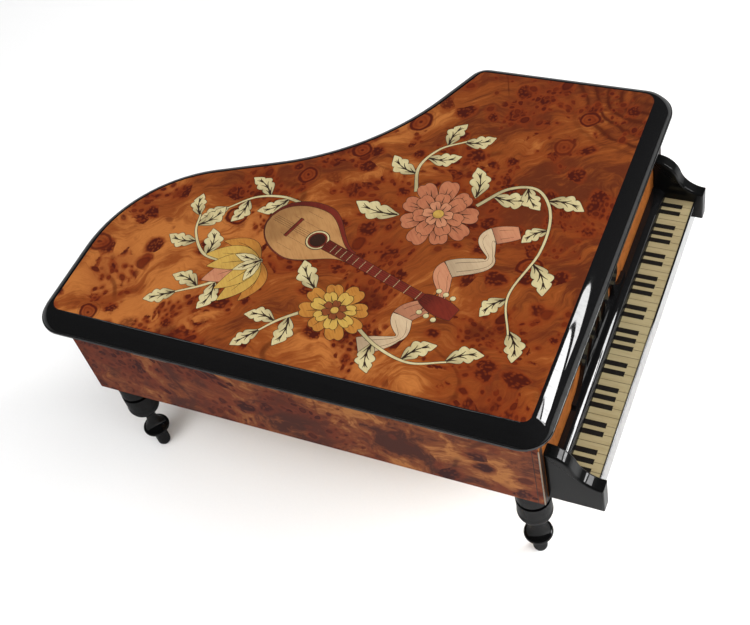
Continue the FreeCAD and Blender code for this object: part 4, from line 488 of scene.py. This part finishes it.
def solid(name, loop, low, high, edge, finish, body, roll=0, steps=5, **more):
    """Closed solid of an outline between two heights, with rounded rims: at angle t of a rim's
    quarter circle the outline is drawn in by edge (1 - sin t) and stands edge (1 - cos t) off
    the end. roll turns the axes: 0 stands along Z, 1 along X, 2 along Y."""
    t = np.linspace(0, math.pi / 2, steps)
    inset = np.concatenate([[edge + GUARD], edge * (1 - np.sin(t)), [0.0]])
    off = np.concatenate([[0.0], edge * (1 - np.cos(t)), [edge + GUARD]])
    if edge == 0:
        inset, off = np.zeros(1), np.zeros(1)
    rings = [(grown(loop, -step), low + rise) for step, rise in zip(inset, off)]
    rings += [(grown(loop, -step), high - rise) for step, rise in zip(inset[::-1], off[::-1])]
    points = np.vstack([np.column_stack([ring, np.full(len(ring), height)]) for ring, height in rings])
    count = len(loop)
    last = (len(rings) - 1) * count
    rim = np.arange(count)[None]
    faces = [quads(len(rings), count, wrap_columns=True), rim[:, ::-1], last + rim]
    return make_piece(name, np.roll(points, roll, axis=1), faces, finish, body, **more)


def box_loop(left, front, right, back, radius=0.0):
    """Outline of a rectangle."""
    return rounded([(left, front), (right, front), (right, back), (left, back)], [radius] * 4)


# The lid panel's plan, from its bass front corner: corner and radius
PLAN = (((0.0, 0.0), 3.5), ((175.0, 0.0), 5.5), ((175.0, 79.7), 3.5), ((115.6, 108.4), 114.5),
        ((74.0, 210.2), 56.0), ((0.0, 210.2), 5.0))
SHARP = 10.0      # a corner with a smaller radius than this is one of the plan's sharp ones
BASS_FRONT = span("lid_veneer")[0][:2]


def plan_path(outset, drawn_in=0.0, small=None):
    """The plan with its sides moved out by outset and the whole moved by drawn_in towards the
    bass front corner: points and outward normals. small is the radius of the sharp corners."""
    corners = np.array([corner for corner, radius in PLAN]) + BASS_FRONT - drawn_in
    radii = [small - outset if small and radius < SHARP else radius for corner, radius in PLAN]
    arcs = [corner_arc(corners, place, radius, outset) for place, radius in enumerate(radii)]
    return tuple(np.vstack(rows) for rows in zip(*arcs))


def arc(centre, radius, start, end, count):
    """Points of an arc between two angles in degrees."""
    angle = np.radians(np.linspace(start, end, count))
    return np.asarray(centre) + radius * np.stack([np.cos(angle), np.sin(angle)], -1)


def turned(way, degrees):
    """A direction turned to the left."""
    cosine, sine = math.cos(math.radians(degrees)), math.sin(math.radians(degrees))
    return np.array([way[0] * cosine - way[1] * sine, way[0] * sine + way[1] * cosine])


def moulding_section(width, depth):
    """Section of the lid's moulding, as points (out, up) from its inner top edge: a soft crest,
    a bowed slope tangent to it, a small lip with round noses, and the flat underside. The last
    two points are the stretch that gives way to the hinge leaves."""
    crest_radius, crest_tilt, lip_width, lip_height, nose, leaf_bay = 2.4, 24.0, 0.4, 1.5, 0.3, 6.7
    crest_drop = LACQUER_TOP - PANEL_TOP
    start = 90 - crest_tilt
    crest = arc((0.0, -crest_drop - crest_radius), crest_radius, 90, start, 7)
    heel = np.array([width - lip_width, lip_height - depth])
    chord = heel - crest[-1]
    half = math.atan2(-chord[1], chord[0]) - math.radians(crest_tilt)
    bow = np.linalg.norm(chord) / 2 / math.sin(half)
    centre = crest[-1] - turned((bow, 0.0), start)
    slope = arc(centre, bow, start, start - 2 * math.degrees(half), 24)[1:]
    top_nose = arc((width - nose, lip_height - depth - nose), nose, 90, 0, 6)
    low_nose = arc((width - nose, nose - depth), nose, 0, -90, 6)
    return np.vstack([[(0.0, -crest_drop - 0.02)], crest, slope, top_nose, low_nose,
                      [(leaf_bay, -depth), (leaf_bay, -depth), (0.0, -depth)]])


def make_moulding():
    """The lid's black moulding: its section carried round the plan, with its underside let up
    over the two hinge leaves. The path has a point twice at each end of a leaf, low and lifted."""
    low, high = span("lid_moulding")
    section = moulding_section(BASS_FRONT[0] - low[0], high[2] - low[2])
    lifted = np.zeros(len(section))
    lifted[-2:] = 1.0
    leaf_low, leaf_high = span("hinge_lid_leaves")
    leaf_length, play = 16.0, 0.05
    ends = [leaf_high[1], leaf_high[1] - leaf_length, leaf_low[1] + leaf_length, leaf_low[1]]
    along = np.repeat(np.array(ends) + np.array([play, -play, play, -play]), 2)
    lift = np.array([0, 1, 1, 0, 0, 1, 1, 0]) * (leaf_high[2] + play - low[2])
    path, outward = plan_path(0.0)
    path = np.vstack([path, np.column_stack([np.full(8, BASS_FRONT[0]), along])])
    outward = np.vstack([outward, np.tile([-1.0, 0.0], (8, 1))])
    lift = np.concatenate([np.zeros(len(path) - 8), lift])
    plan = path[:, None] + outward[:, None] * section[None, :, :1]
    height = LACQUER_TOP + section[None, :, 1] + lift[:, None] * lifted[None]
    grid = np.concatenate([plan, height[..., None]], -1)
    make_piece("lid_moulding_swept", grid.reshape(-1, 3), [quads(len(path), len(section), True, True)],
               "black_lacquer", "lid", stands_for=("lid_moulding",))


def make_keyboard_front():
    """Ogee cheeks, keyslip and fallboard with the soft edges that lacquer gives them. A cheek's
    top is two arcs of radius (depth^2 + fall^2) / (4 fall), tangent where they meet."""
    front_height, softness = 14.8, 0.9
    for label in ("bass_cheek", "treble_cheek"):
        low, high = span(label)
        depth, top = high[1] - low[1], high[2] - low[2]
        fall = top - front_height
        bend = (depth ** 2 + fall ** 2) / (4 * fall)
        sweep = math.degrees(math.asin(depth / 2 / bend))
        ogee = np.vstack([arc((depth, top - bend), bend, 90, 90 + sweep, 22)[:-1],
                          arc((0.0, front_height + bend), bend, sweep - 90, -90, 22)])
        loop = np.vstack([[(0.0, 0.0), (depth, 0.0)], ogee]) + low[1:]
        solid(label + "_shaped", loop, low[0], high[0], softness, "satin_black", "case", roll=1, steps=9,
              stands_for=(label,))
    for label, back_radius, front_radius, steps, finish in (("keyslip", 0.15, 0.5, 9, "front_lacquer"),
                                                            ("fallboard", 0.3, 3.2, 18, "black_lacquer")):
        low, high = span(label)
        loop = rounded([(low[1], low[2]), (high[1], low[2]), (high[1], high[2]), (low[1], high[2])],
                       [0.0, 0.0, back_radius, front_radius], steps)
        solid(label + "_rounded", loop, low[0], high[0], 0.0, finish, "case", roll=1, slot="black_lacquer",
              stands_for=(label,))


def make_corner_lines():
    """Pale stringing on the case's bass front corner, a dark line on the side beside it, and dark
    bands over the narrow front face between each corner and its cheek, which paint the shade
    that face lies in; each a little proud of the veneer."""
    low, high = span("case_veneer")
    proud, clear, string, band, band_inset, side_line = 0.04, 0.05, 0.4, 0.3, 0.9, (2.6, 2.85)
    top = min(span("hinge_case_leaves")[0][2] - 1.5, high[2] - 0.4)
    corner = low[:2] - proud
    bass_end, treble_end = span("bass_cheek")[0][0] - clear, span("treble_cheek")[1][0] + clear
    lines = (("corner_stringing", corner, corner + string, "stringing"),
             ("corner_line_side", corner + (0.0, side_line[0]), corner + (band, side_line[1]), "ebony_line"),
             # these two bands paint the shade on the narrow front face beside the cheeks
             ("bass_shade_band", corner + (band_inset, 0.0), (bass_end, corner[1] + band), "ebony_line"),
             ("treble_shade_band", (treble_end, corner[1]), (high[0] - band_inset, corner[1] + band), "ebony_line"))
    for label, first, last, finish in lines:
        solid(label, box_loop(*first, *last), low[2] + 0.02, top, 0.0, finish, "case", slot="side_veneer")


def lining(name, loop, thick, low, top):
    """Velvet on a wall: a section with a round top edge carried round an outline, into which it
    stands by thick. top is the height at each point of the outline."""
    softness = 0.45
    t = np.linspace(0, math.pi / 2, 6)
    into = np.concatenate([[0.02, 0.02], thick - softness * (1 - np.sin(t)), [thick]])
    drop = np.concatenate([[np.nan, 0.0], softness * (1 - np.cos(t)), [np.nan]])
    rings = [grown(loop, -step) for step in into]
    heights = [np.full(len(loop), low) if np.isnan(fall) else top - fall for fall in drop]
    points = np.stack([np.column_stack([ring, height]) for ring, height in zip(rings, heights)], 1)
    return make_piece(name, points.reshape(-1, 3), [quads(len(loop), len(into), True, True)],
                      "red_velvet", "case")


def make_velvet():
    """Lining of the tray, of the tail compartment and of the lid. The compartment and the lid's
    pad follow the plan, set out or in by half of what their width differs from it."""
    partition, divider = span("long_partition"), span("short_partition")
    floor, wall = span("floor_velvet"), span("wall_velvet")
    room_corner, pad_corner, thick = 0.6, 1.5, 1.0
    tray = box_loop(floor[0][0], floor[0][1], divider[0][0], partition[0][1], room_corner)
    room_outset = (floor[1][0] - floor[0][0] - PLAN[1][0][0]) / 2
    room_shift = BASS_FRONT[0] - room_outset - floor[0][0]
    path = plan_path(room_outset, room_shift, room_corner)[0]
    back = path[path[:, 1] > partition[1][1] + 1.0]
    tail = np.vstack([[(floor[0][0], partition[1][1]), (floor[1][0], partition[1][1])], back])
    tail_top = np.full(len(tail), wall[1][2])
    tail_top[:2] = partition[1][2]
    floors = [solid(f"{label}_floor", grown(loop, -0.05), floor[0][2], floor[1][2], 0.3, "red_velvet", "case")
              for label, loop in (("tray", tray), ("tail", tail))]
    walls = [lining("tray_wall", tray, thick, wall[0][2], np.full(len(tray), partition[1][2])),
             lining("tail_wall", tail, thick, wall[0][2], tail_top)]
    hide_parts("floor_velvet")
    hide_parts("wall_velvet")
    low, high = span("lid_lining")
    outset = (high[0] - low[0] - PLAN[1][0][0]) / 2
    loop = plan_path(outset, BASS_FRONT[0] - outset - low[0], pad_corner)[0]
    pad = solid("lid_pad", loop, low[2], high[2], 0.5, "red_velvet", "lid", stands_for=("lid_lining",))


def make_ring_cushion():
    """Velvet rolls side by side. The height over (x, y) is the greatest over the rolls of
    middle + sqrt(r^2 - (x - axis)^2), where r shrinks towards the ends as a quarter circle and
    swells a little between the stitches; the skirt falls to the floor of the tray."""
    low, high = span("ring_cushion")
    roll_count, radius, stitch_pitch, seam_depth = 5, 5.4, 8.4, 1.6
    axes = np.linspace(low[0] + radius, high[0] - radius, roll_count)
    middle = high[2] - radius
    x = np.linspace(low[0], high[0], 221)[:, None]
    y = np.linspace(low[1], high[1], 161)[None, :]
    end = np.minimum(y - low[1], high[1] - y)
    quarter = np.sqrt(np.clip(1 - (1 - np.minimum(end / radius, 1)) ** 2, 0, 1))
    stitch = 1 - 0.022 * np.abs(np.cos(np.pi * (y - low[1]) / stitch_pitch)) ** 12
    grid_r = radius * quarter * stitch
    rise = np.zeros((x.shape[0], y.shape[1]))
    for count, axis in enumerate(axes):
        slack = 1 - 0.012 * np.sin(0.35 * y + 1.7 * count)
        rise = np.maximum(rise, np.sqrt(np.clip((grid_r * slack) ** 2 - (x - axis) ** 2, 0, None)))
    inside = np.minimum(np.minimum(x - low[0], high[0] - x), end) > 1.5
    height = np.where(rise > 0.02, middle + rise, np.where(inside, middle - seam_depth, low[2]))
    height[[0, -1]] = low[2]
    height[:, [0, -1]] = low[2]
    top = np.stack(np.broadcast_arrays(x, y, height), -1)
    under = top.copy()
    under[..., 2] = low[2] - 0.01
    piece = make_piece("ring_cushion_rolls", *closed_plate(top, under), "red_velvet", "case",
                       crease=180.0, stands_for=("ring_cushion",))


def around(count, wide):
    """Indices of a grid's rim, in order, for a grid of count rows and wide columns."""
    grid = np.arange(count * wide).reshape(count, wide)
    return np.concatenate([grid[0, :-1], grid[:-1, -1], grid[-1, :0:-1], grid[:0:-1, 0]])


def closed_plate(top, under):
    """Points and faces of a closed shell from two grids of one size, one over the other."""
    count, wide = top.shape[:2]
    rim = around(count, wide)
    flat = quads(count, wide)
    below = count * wide
    sides = np.stack([rim, np.roll(rim, -1), np.roll(rim, -1) + below, rim + below], 1)
    points = np.vstack([top.reshape(-1, 3), under.reshape(-1, 3)])
    return points, [flat[:, ::-1], flat + below, sides]


# Marquetry: every motif is a grid of points in the lid's plane, in mm

def widened(grid, reach):
    """The grid with its rim moved outward by reach."""
    flat = grid.reshape(-1, 2).copy()
    rim = around(*grid.shape[:2])
    flat[rim] = grown(flat[rim], reach)
    return flat.reshape(grid.shape)


class Marquetry:
    """The lid's picture: closed thin plates, gathered by the veneer they are cut from. A map of
    the panel in small cells keeps how many layers each place has, so that a plate lies one
    layer above all that it covers."""

    CELL = 0.25           # of the map, in mm
    CELLS = (900, 1000)   # of the map, along X and Y
    MARGIN = 20           # cells before the panel's corner
    HEIGHT = 0.075        # of the whole picture above the panel
    ROOT = 0.02           # reach of each plate into the panel

    def __init__(self):
        self.plates = {}
        self.layers = np.zeros(self.CELLS, int)

    def cells_of(self, grid):
        """The map's cells under a grid: the grid read between its points every fifth of a mm."""
        for axis in (0, 1):
            length = np.linalg.norm(np.diff(grid, axis=axis), axis=2).sum(axis).max()
            at = np.linspace(0, grid.shape[axis] - 1.0001, int(length / 0.2) + 2)
            whole, share = at.astype(int), (at % 1).reshape((-1, 1, 1) if axis == 0 else (1, -1, 1))
            grid = grid.take(whole, axis) * (1 - share) + grid.take(whole + 1, axis) * share
        return ((grid.reshape(-1, 2) - BASS_FRONT) / self.CELL + self.MARGIN).astype(int)

    def lay(self, veneer, grids, edge=0.22):
        """Plates side by side in one layer, on scorched ones that are wider by edge."""
        grids = grids if isinstance(grids, list) else [grids]
        under = [widened(grid, edge) for grid in grids] if edge else grids
        seats = np.vstack([self.cells_of(grid) for grid in under])
        layer = self.layers[seats[:, 0], seats[:, 1]].max() + 1
        if edge:
            self.plates.setdefault("scorched", []).extend((grid, layer) for grid in under)
            layer += 1
        self.plates.setdefault(veneer, []).extend((grid, layer) for grid in grids)
        self.layers[seats[:, 0], seats[:, 1]] = layer

    def line(self, path, start, end, veneer="scorched"):
        """A thin strip whose width goes evenly from start to end."""
        self.lay(veneer, strip(path, np.linspace(start, end, len(path)) / 2), 0.0)

    def build(self):
        """One piece for each veneer, a plate's height following its layer."""
        step = self.HEIGHT / self.layers.max()
        for veneer, plates in self.plates.items():
            points, faces, spread, start = [], [], [], 0
            for grid, layer in plates:
                count, wide = grid.shape[:2]
                top = np.dstack([grid, np.full((count, wide), PANEL_TOP + step * layer)])
                under = np.dstack([grid, np.full((count, wide), PANEL_TOP - self.ROOT)])
                shell, groups = closed_plate(top, under)
                first, second = grid[1:, :-1] - grid[:-1, :-1], grid[:-1, 1:] - grid[:-1, :-1]
                if np.sum(first[..., 0] * second[..., 1] - first[..., 1] * second[..., 0]) < 0:
                    groups = [group[:, ::-1] for group in groups]
                points.append(shell)
                faces += [group + start for group in groups]
                across, along = np.meshgrid(np.linspace(0, 1, wide), np.linspace(0, 1, count))
                spread += [np.stack([across.ravel(), along.ravel()], 1)] * 2
                start += len(shell)
            make_piece("inlay_" + veneer, np.vstack(points), [np.vstack(faces)], veneer, "lid",
                       "burl_veneer", np.vstack(spread))


def curve(points, count=40):
    """A smooth path through the points: Catmull-Rom cubics, sampled evenly in their parameter."""
    p = np.asarray(points, float)
    p = np.vstack([2 * p[0] - p[1], p, 2 * p[-1] - p[-2]])
    at = np.linspace(0, len(p) - 3 - 1e-9, count)
    i = at.astype(int)
    w = (at - i)[:, None]
    a, b, c, d = (p[i + step] for step in range(4))
    square, cube = 2 * a - 5 * b + 4 * c - d, 3 * b - a - 3 * c + d
    return 0.5 * (2 * b + (c - a) * w + square * w ** 2 + cube * w ** 3)


def normals_of(path):
    """Unit normals of a path: its direction turned a quarter to the left."""
    along = np.gradient(path, axis=0)
    along /= np.maximum(np.linalg.norm(along, axis=1, keepdims=True), 1e-9)
    return np.stack([-along[:, 1], along[:, 0]], 1)


def strip(path, half, columns=2):
    """Grid of a strip: the path moved along its normals by -half to +half."""
    across = np.linspace(-1, 1, columns)[None, :, None]
    half = np.broadcast_to(half, len(path))[:, None, None]
    return path[:, None] + normals_of(path)[:, None] * across * half


def leaf_grid(base, tip, width, bow, lobes, depth, lean=0.20):
    """Grid of a leaf and its midrib. The midrib is a parabola of height bow over base to tip.
    Half the width is a skewed arch, sin(pi u^0.78)^0.85, less rounded notches between the lobes;
    the rim leans forward by lean, so the lobes point to the tip."""
    least = 0.08
    base, tip = np.asarray(base, float), np.asarray(tip, float)
    way = tip - base
    side = np.array([-way[1], way[0]]) / np.linalg.norm(way)
    u = np.linspace(0, 1, 61)[:, None]
    v = np.linspace(-1, 1, 7)[None, :]
    arch = np.sin(np.pi * u ** 0.78) ** 0.85
    notch = 1 - np.abs(np.sin(np.pi * (lobes * u ** 0.9 + 0.14 * np.sign(v)))) ** 0.55
    notch = notch * depth * np.sin(np.pi * np.clip(u * 1.04, 0, 1)) ** 0.4
    half = width / 2 * arch * (1 - notch) + least
    ahead = u + lean * np.abs(v) * arch * (1 - u)
    spine = base + ahead[..., None] * way + (4 * bow * ahead * (1 - ahead))[..., None] * side
    rib = base + u * way + 4 * bow * u * (1 - u) * side
    return spine + (v * half)[..., None] * side, rib


picture = Marquetry()


def leaf(base, tip, width, bow, lobes=3, depth=0.46):
    """A maple leaf with its midrib and side veins, one into each lobe, cut in."""
    grid, rib = leaf_grid(base, tip, width, bow, lobes, depth)
    picture.lay("maple", grid)
    picture.line(rib[2:50], 0.90, 0.24)
    for lobe in range(lobes):
        row = int(60 * (lobe + 0.18) / (lobes + 0.4))
        last = min(row + 11, 59)
        for column in (1, 5):
            end = grid[last, column] * 0.75 + rib[last] * 0.25
            picture.line(curve([rib[row], rib[row + 4] * 0.55 + end * 0.45, end], 8), 0.66, 0.20)


def spray(points, leaves):
    """Leaves at shares of a stem's length, then the stem, which thins out evenly. Each leaf has a
    share, an angle from the stem in degrees, a length and a width."""
    path = curve(points, 60)
    for share, angle, long, width in leaves:
        at = min(int(share * 59), 58)
        way = path[at + 1] - path[at]
        tip = path[at] + turned(way / np.linalg.norm(way), angle) * long
        leaf(path[at], tip, width, long * 0.12 * np.sign(angle))
    thick = 1.5
    picture.lay("maple", strip(curve(points, 70), np.linspace(thick, thick * 0.45, 70) / 2, 3))


def petal_ring(veneer, centre, inner, outer, count, turn, tilt, notch, cuts):
    """A ring of petals about centre. In a petal's own angle a from -1 to 1 the rim's radius is
    inner + (outer - inner) ((1 - 0.97 |a|^3.2)^0.5 - notch exp(-(a / 0.16)^2)). tilt squashes the
    ring along an axis at an angle. Each petal has cuts scorched lines that curve out from its
    base."""
    long, short, lean = tilt
    spin = np.array([[math.cos(lean), -math.sin(lean)], [math.sin(lean), math.cos(lean)]])

    def placed(angle, radius):
        flat = np.stack([np.cos(angle) * radius * long, np.sin(angle) * radius * short], -1)
        return flat @ spin.T + np.asarray(centre, float)

    a = np.linspace(-1, 1, 25)[None, :]
    u = np.linspace(0, 1, 7)[:, None]
    middles = turn + 2 * math.pi * np.arange(count) / count
    petals = []
    for petal, middle in enumerate(middles):
        grow = 1 + 0.07 * math.sin(2.4 * petal + turn * 5)
        arch = np.sqrt(1 - np.abs(a) ** 3.2 * 0.97) - notch * np.exp(-(a / 0.16) ** 2)
        rim = inner + (outer * grow - inner) * arch
        angle = middle + a * (0.5 - 0.025 * (1 - u)) * 2 * math.pi / count * 0.97
        petals.append(placed(angle, inner + u * (rim - inner)))
    picture.lay(veneer, petals, 0.24)
    for petal, middle in enumerate(middles):
        for cut in range(cuts):
            off = (cut - (cuts - 1) / 2) * 0.5
            w = np.linspace(0.12, 0.66 - 0.14 * abs(off), 14)
            bent = middle + (off * (0.6 + 0.6 * w) + 0.16 * w * (1 if petal % 2 else -1)) * math.pi / count
            picture.line(placed(bent, inner + w * (outer - inner)), 0.50, 0.12)


def button(veneer, centre, radius, edge=0.0):
    """A disc: at x = -radius cos(pi s) along it, half its width is radius sin(pi s)."""
    s = np.linspace(0.01, 0.99, 25)
    path = np.stack([-radius * np.cos(np.pi * s), np.zeros(25)], 1) + np.asarray(centre, float)
    picture.lay(veneer, strip(path, radius * np.sin(np.pi * s), 5), edge)


def flower(centre, tilt, notch, rings, heart):
    """A flower seen from above: rings of petals, the widest first, and a straw button."""
    for veneer, inner, outer, count, turn, cuts in rings:
        petal_ring(veneer, centre, inner, outer, count, turn, tilt, notch, cuts)
    button("straw", centre, heart, 0.2)


def mandolin(tail, head):
    """A round-backed mandolin. Its soundboard's half width is a quarter ellipse from the tail
    to the widest place, then a cosine fall to the neck."""
    tail, head = np.asarray(tail, float), np.asarray(head, float)
    way = (head - tail) / np.linalg.norm(head - tail)
    side = np.array([-way[1], way[0]])
    length, half_width, half_neck, widest = 45, 15.2, 2.4, 0.44

    def at(along, across=0.0):
        return tail + np.multiply.outer(along, way) + np.multiply.outer(across * np.ones_like(along), side)

    def body(grow, shift=0.0):
        u = np.linspace(0, 1, 61)
        front = np.sqrt(np.maximum(0, 1 - (1 - u / widest) ** 2)) * (u < widest)
        rear = (0.5 + 0.5 * np.cos(np.pi * np.clip((u - widest) / (1 - widest), 0, 1))) ** 0.92
        half = half_neck + (half_width + grow - half_neck) * (front + rear * (u >= widest))
        half = np.where(u < widest, (half_width + grow) * front, half) + 0.05
        return strip(at(u * (length + grow) - grow * 0.5, shift), half, 9)

    picture.lay("padauk", body(0.9, 0.9))
    picture.lay("spruce", body(-0.9, -0.3))
    for line in (-10.2, -5.1, 5.1, 10.2):
        picture.line(at(np.linspace(7 + abs(line) * 0.55, 30 - abs(line) * 0.9, 12), line), 0.10, 0.10)
    for radius, veneer in ((5.4, "scorched"), (5.0, "maple"), (4.3, "padauk"), (3.5, "scorched")):
        button(veneer, at(np.array(27.0)), radius)
    picture.lay("padauk", strip(at(np.linspace(12.4, 13.8, 3)), 5.6, 3))
    picture.lay("padauk", strip(at(np.linspace(31.5, 84, 20)), np.linspace(2.7, 1.9, 20), 3))
    for fret in np.geomspace(36, 82, 12):
        picture.line(at(np.array([fret - 0.1, fret + 0.1])), 4.2, 4.2, "maple")
    for peg in (87.5, 91.0, 94.5):
        for way_out in (-1, 1):
            picture.line(at(np.full(2, peg)) + np.outer([2.4, 5.4], side) * way_out, 0.5, 0.5)
            button("maple", at(np.array(peg), way_out * 6.2), 1.1, 0.18)
    scroll = 2.0 + 2.3 * np.sin(np.linspace(0.05, 2.75, 24)) ** 0.8
    picture.lay("padauk", strip(at(np.linspace(84, 100, 24)), scroll, 5))
    for string in (-1.4, -0.5, 0.5, 1.4):
        picture.line(at(np.linspace(2.0, 88.0, 30), string), 0.13, 0.13)


def tulip(base, way, size):
    """A tulip from the side: smooth leaf-shaped petals fanned from one base, outer ones first."""
    base = np.asarray(base, float)
    heading = turned((1.0, 0.0), way)
    petals = ((-56, 0.84, 8.0, "amber"), (54, 0.86, 8.0, "amber"), (-33, 0.98, 9.5, "straw"),
              (33, 1.0, 9.5, "straw"), (0, 1.0, 12.0, "blush"), (-17, 0.90, 8.5, "straw"),
              (18, 0.88, 8.5, "straw"))
    for turn, share, broad, veneer in petals:
        tip = base + turned(heading, turn) * size * share
        grid, rib = leaf_grid(base, tip, broad, size * turn / 420, 0, 0.0, 0.0)
        picture.lay(veneer, grid)
        picture.line(rib[10:44], 0.42, 0.12)
    for turn in (-42, 42, 0):
        lean = turned(heading, turn)
        leaf(base - lean * 1.5, base + lean * size * 0.46, 4.4, 0.0, 2, 0.2)


def ribbon(points, wide):
    """A ribbon that turns over: its half width follows |cos| of a slow angle, and the two
    faces are pale and rosy by turns."""
    steps = 160
    path = curve(points, steps)
    half = wide / 2 * (0.30 + 0.70 * np.abs(np.cos(np.linspace(0.2, 3.3 * math.pi, steps))))
    turns = [0, 44, 93, 142, steps]
    for count, (start, end) in enumerate(zip(turns[:-1], turns[1:])):
        some = slice(start, min(end + 1, steps))
        picture.lay("blush" if count % 2 else "rose_white", strip(path[some], half[some], 5))
        across = normals_of(path[some]) * half[some][:, None]
        for side in (-0.52, 0.52):
            picture.line((path[some] + across * side)[4:-4], 0.20, 0.10)


def make_picture():
    """The picture's layout, from the ground up: ribbon, sprays, mandolin and flowers."""
    ribbon([(-72, -22), (-64, -36), (-53, -34), (-42, -45), (-28, -42), (-20, -57), (-8, -53),
            (-2, -64)], 9.0)
    sprays = (([(-8, 30), (-6, 42), (-9, 54), (-18, 64)],
               ((0.25, 50, 15, 8), (0.5, -48, 15, 8), (0.76, 42, 14, 7.5), (0.98, 0, 14, 7.5))),
              ([(10, -14), (24, -10), (36, -15), (43, -25)],
               ((0.25, 46, 16, 8.5), (0.5, -52, 15, 8), (0.78, 42, 15, 8), (0.98, -10, 14, 8))),
              ([(8, -42), (20, -52), (22, -64), (10, -73), (-10, -75), (-34, -70), (-52, -76)],
               ((0.10, -44, 17, 9), (0.28, -54, 14, 8), (0.44, 50, 16, 8.5), (0.58, -50, 12, 7),
                (0.72, 46, 17, 9), (0.86, -44, 13, 7.5), (0.99, 4, 15, 8))),
              ([(-46, 50), (-44, 62), (-34, 71), (-24, 74)],
               ((0.3, -54, 15, 8.5), (0.55, 52, 14, 8), (0.80, -46, 15, 8), (0.99, 6, 13, 7))),
              ([(-52, 44), (-60, 54), (-66, 64)], ((0.3, 48, 15, 8), (0.6, -46, 14, 8), (0.99, 0, 14, 7.5))),
              ([(-62, -16), (-70, -29), (-74, -44), (-70, -58)],
               ((0.3, -50, 14, 8), (0.6, 50, 15, 8), (0.99, 10, 15, 8))),
              ([(-60, 4), (-68, 14), (-75, 20)], ((0.35, 50, 15, 8), (0.6, -48, 14, 7.5), (0.99, 0, 13, 7))))
    for points, leaves in sprays:
        spray(points, leaves)
    for base, tip, width, bow in (((-4, -12), (-1, 9), 10.0, 1.8), ((12, -40), (29, -35), 9.0, -1.6),
                                  ((-50, 6), (-37, 17), 9.0, 1.2)):
        leaf(base, tip, width, bow)
    mandolin((-17, 42), (-50, -58))
    tulip((-42, 36), 128, 25)
    flower((0, -28), (1.0, 0.92, 0.5), 0.08,
           (("rosewood", 9.5, 18.0, 9, 0.2, 2), ("rosewood", 5.5, 12.5, 7, 0.5, 1),
            ("blush", 2.0, 7.2, 6, 0.1, 1)), 2.3)
    flower((-58, -6), (1.0, 0.84, 1.1), 0.12,
           (("amber", 7.0, 15.5, 8, 0.0, 1), ("straw", 4.0, 10.5, 7, 0.35, 1),
            ("rust", 1.2, 5.6, 6, 0.0, 0)), 1.6)
    picture.build()


make_moulding()
make_keyboard_front()
make_corner_lines()
make_velvet()
make_ring_cushion()
make_picture()


# Stage

def panel(name, middle, aim, width, height, glow, mirrored=False, lean=0.0):
    """A soft box at middle, facing aim and turned about its own axis by lean in degrees. glow is
    its radiance, so its power in watts is pi * area * glow. Boxes that aren't mirrored leave the
    lacquer black."""
    light = bpy.data.lights.new(name, "AREA")
    light.shape = "RECTANGLE"
    light.size = width
    light.size_y = height
    light.energy = math.pi * width * height * glow
    holder = put_in(name, light)
    holder.location = middle
    facing = (Vector(aim) - Vector(middle)).to_track_quat("-Z", "Y").to_matrix()
    holder.rotation_euler = (facing @ Matrix.Rotation(math.radians(lean), 3, "Z")).to_euler()
    holder.visible_camera = False
    holder.visible_glossy = mirrored


def sweep_floor():
    """A flat square of 8 m, with its middle under the object."""
    r = Recipe("floor_paper")
    speck = r.noise(r.place, 900.0, 2.0)
    paper = r.surface(r.blend((0.90, 0.90, 0.90), (0.87, 0.87, 0.87), speck), 0.8, speck, 0.00002)
    mesh = bpy.data.meshes.new("floor")
    mesh.from_pydata([(-4, -4, 0), (4, -4, 0), (4, 4, 0), (-4, 4, 0)], [], [(0, 1, 2, 3)])
    mesh.materials.append(paper)
    floor = put_in("floor", mesh)


sweep_floor()
panel("overhead", (-0.5, -0.7, 1.75), (0, 0, 0), 2.2, 2.2, 2.7)
panel("near", (-0.40, 0.12, 0.56), (0, 0, 0.1), 0.25, 0.25, 9.0)
for pane, (turn, wide, glow) in enumerate(((-59.0, 0.10, 20.0), (-52.5, 0.13, 34.0), (-46.5, 0.07, 26.0))):
    way = turned((1.45, 0.0), turn)
    panel(f"window_{pane}", (way[0] - 0.05, way[1] - 0.1, 0.95), (-0.05, -0.1, 0.1), wide, 0.95, glow,
          True, -30.0)
panel("back_strip", (0.32, 0.58, 1.25), (0.32, 0.57, 0.0), 0.04, 0.80, 9.0, True)
panel("front_glow", (0.0, -0.31, 0.15), (0.0, -0.312, 0.0), 0.34, 0.16, 7.0)
world = bpy.data.worlds.new("studio")
bpy.context.scene.world = world
world.use_nodes = True
background = world.node_tree.nodes["Background"]
background.inputs[0].default_value = (1.0, 1.0, 1.0, 1.0)
background.inputs[1].default_value = 0.1

# Camera, fitted to the lid's edges, the legs and the keyboard
camera_data = bpy.data.cameras.new("camera")
camera_data.lens = 57.96
camera_data.sensor_width = 36.0
camera_data.clip_start = 0.01
camera = put_in("camera", camera_data)
right = Vector((0.3816, -0.9070, -0.1779))
down = Vector((-0.7598, -0.1982, -0.6192))
ahead = Vector((0.5264, 0.3715, -0.7648))
turned_frame = Matrix((right, -down, -ahead)).transposed().to_4x4()
camera.matrix_world = Matrix.Translation((-0.30307, -0.19743, 0.46488)) @ turned_frame
bpy.context.scene.camera = camera
bpy.context.scene.view_settings.view_transform = "Standard"
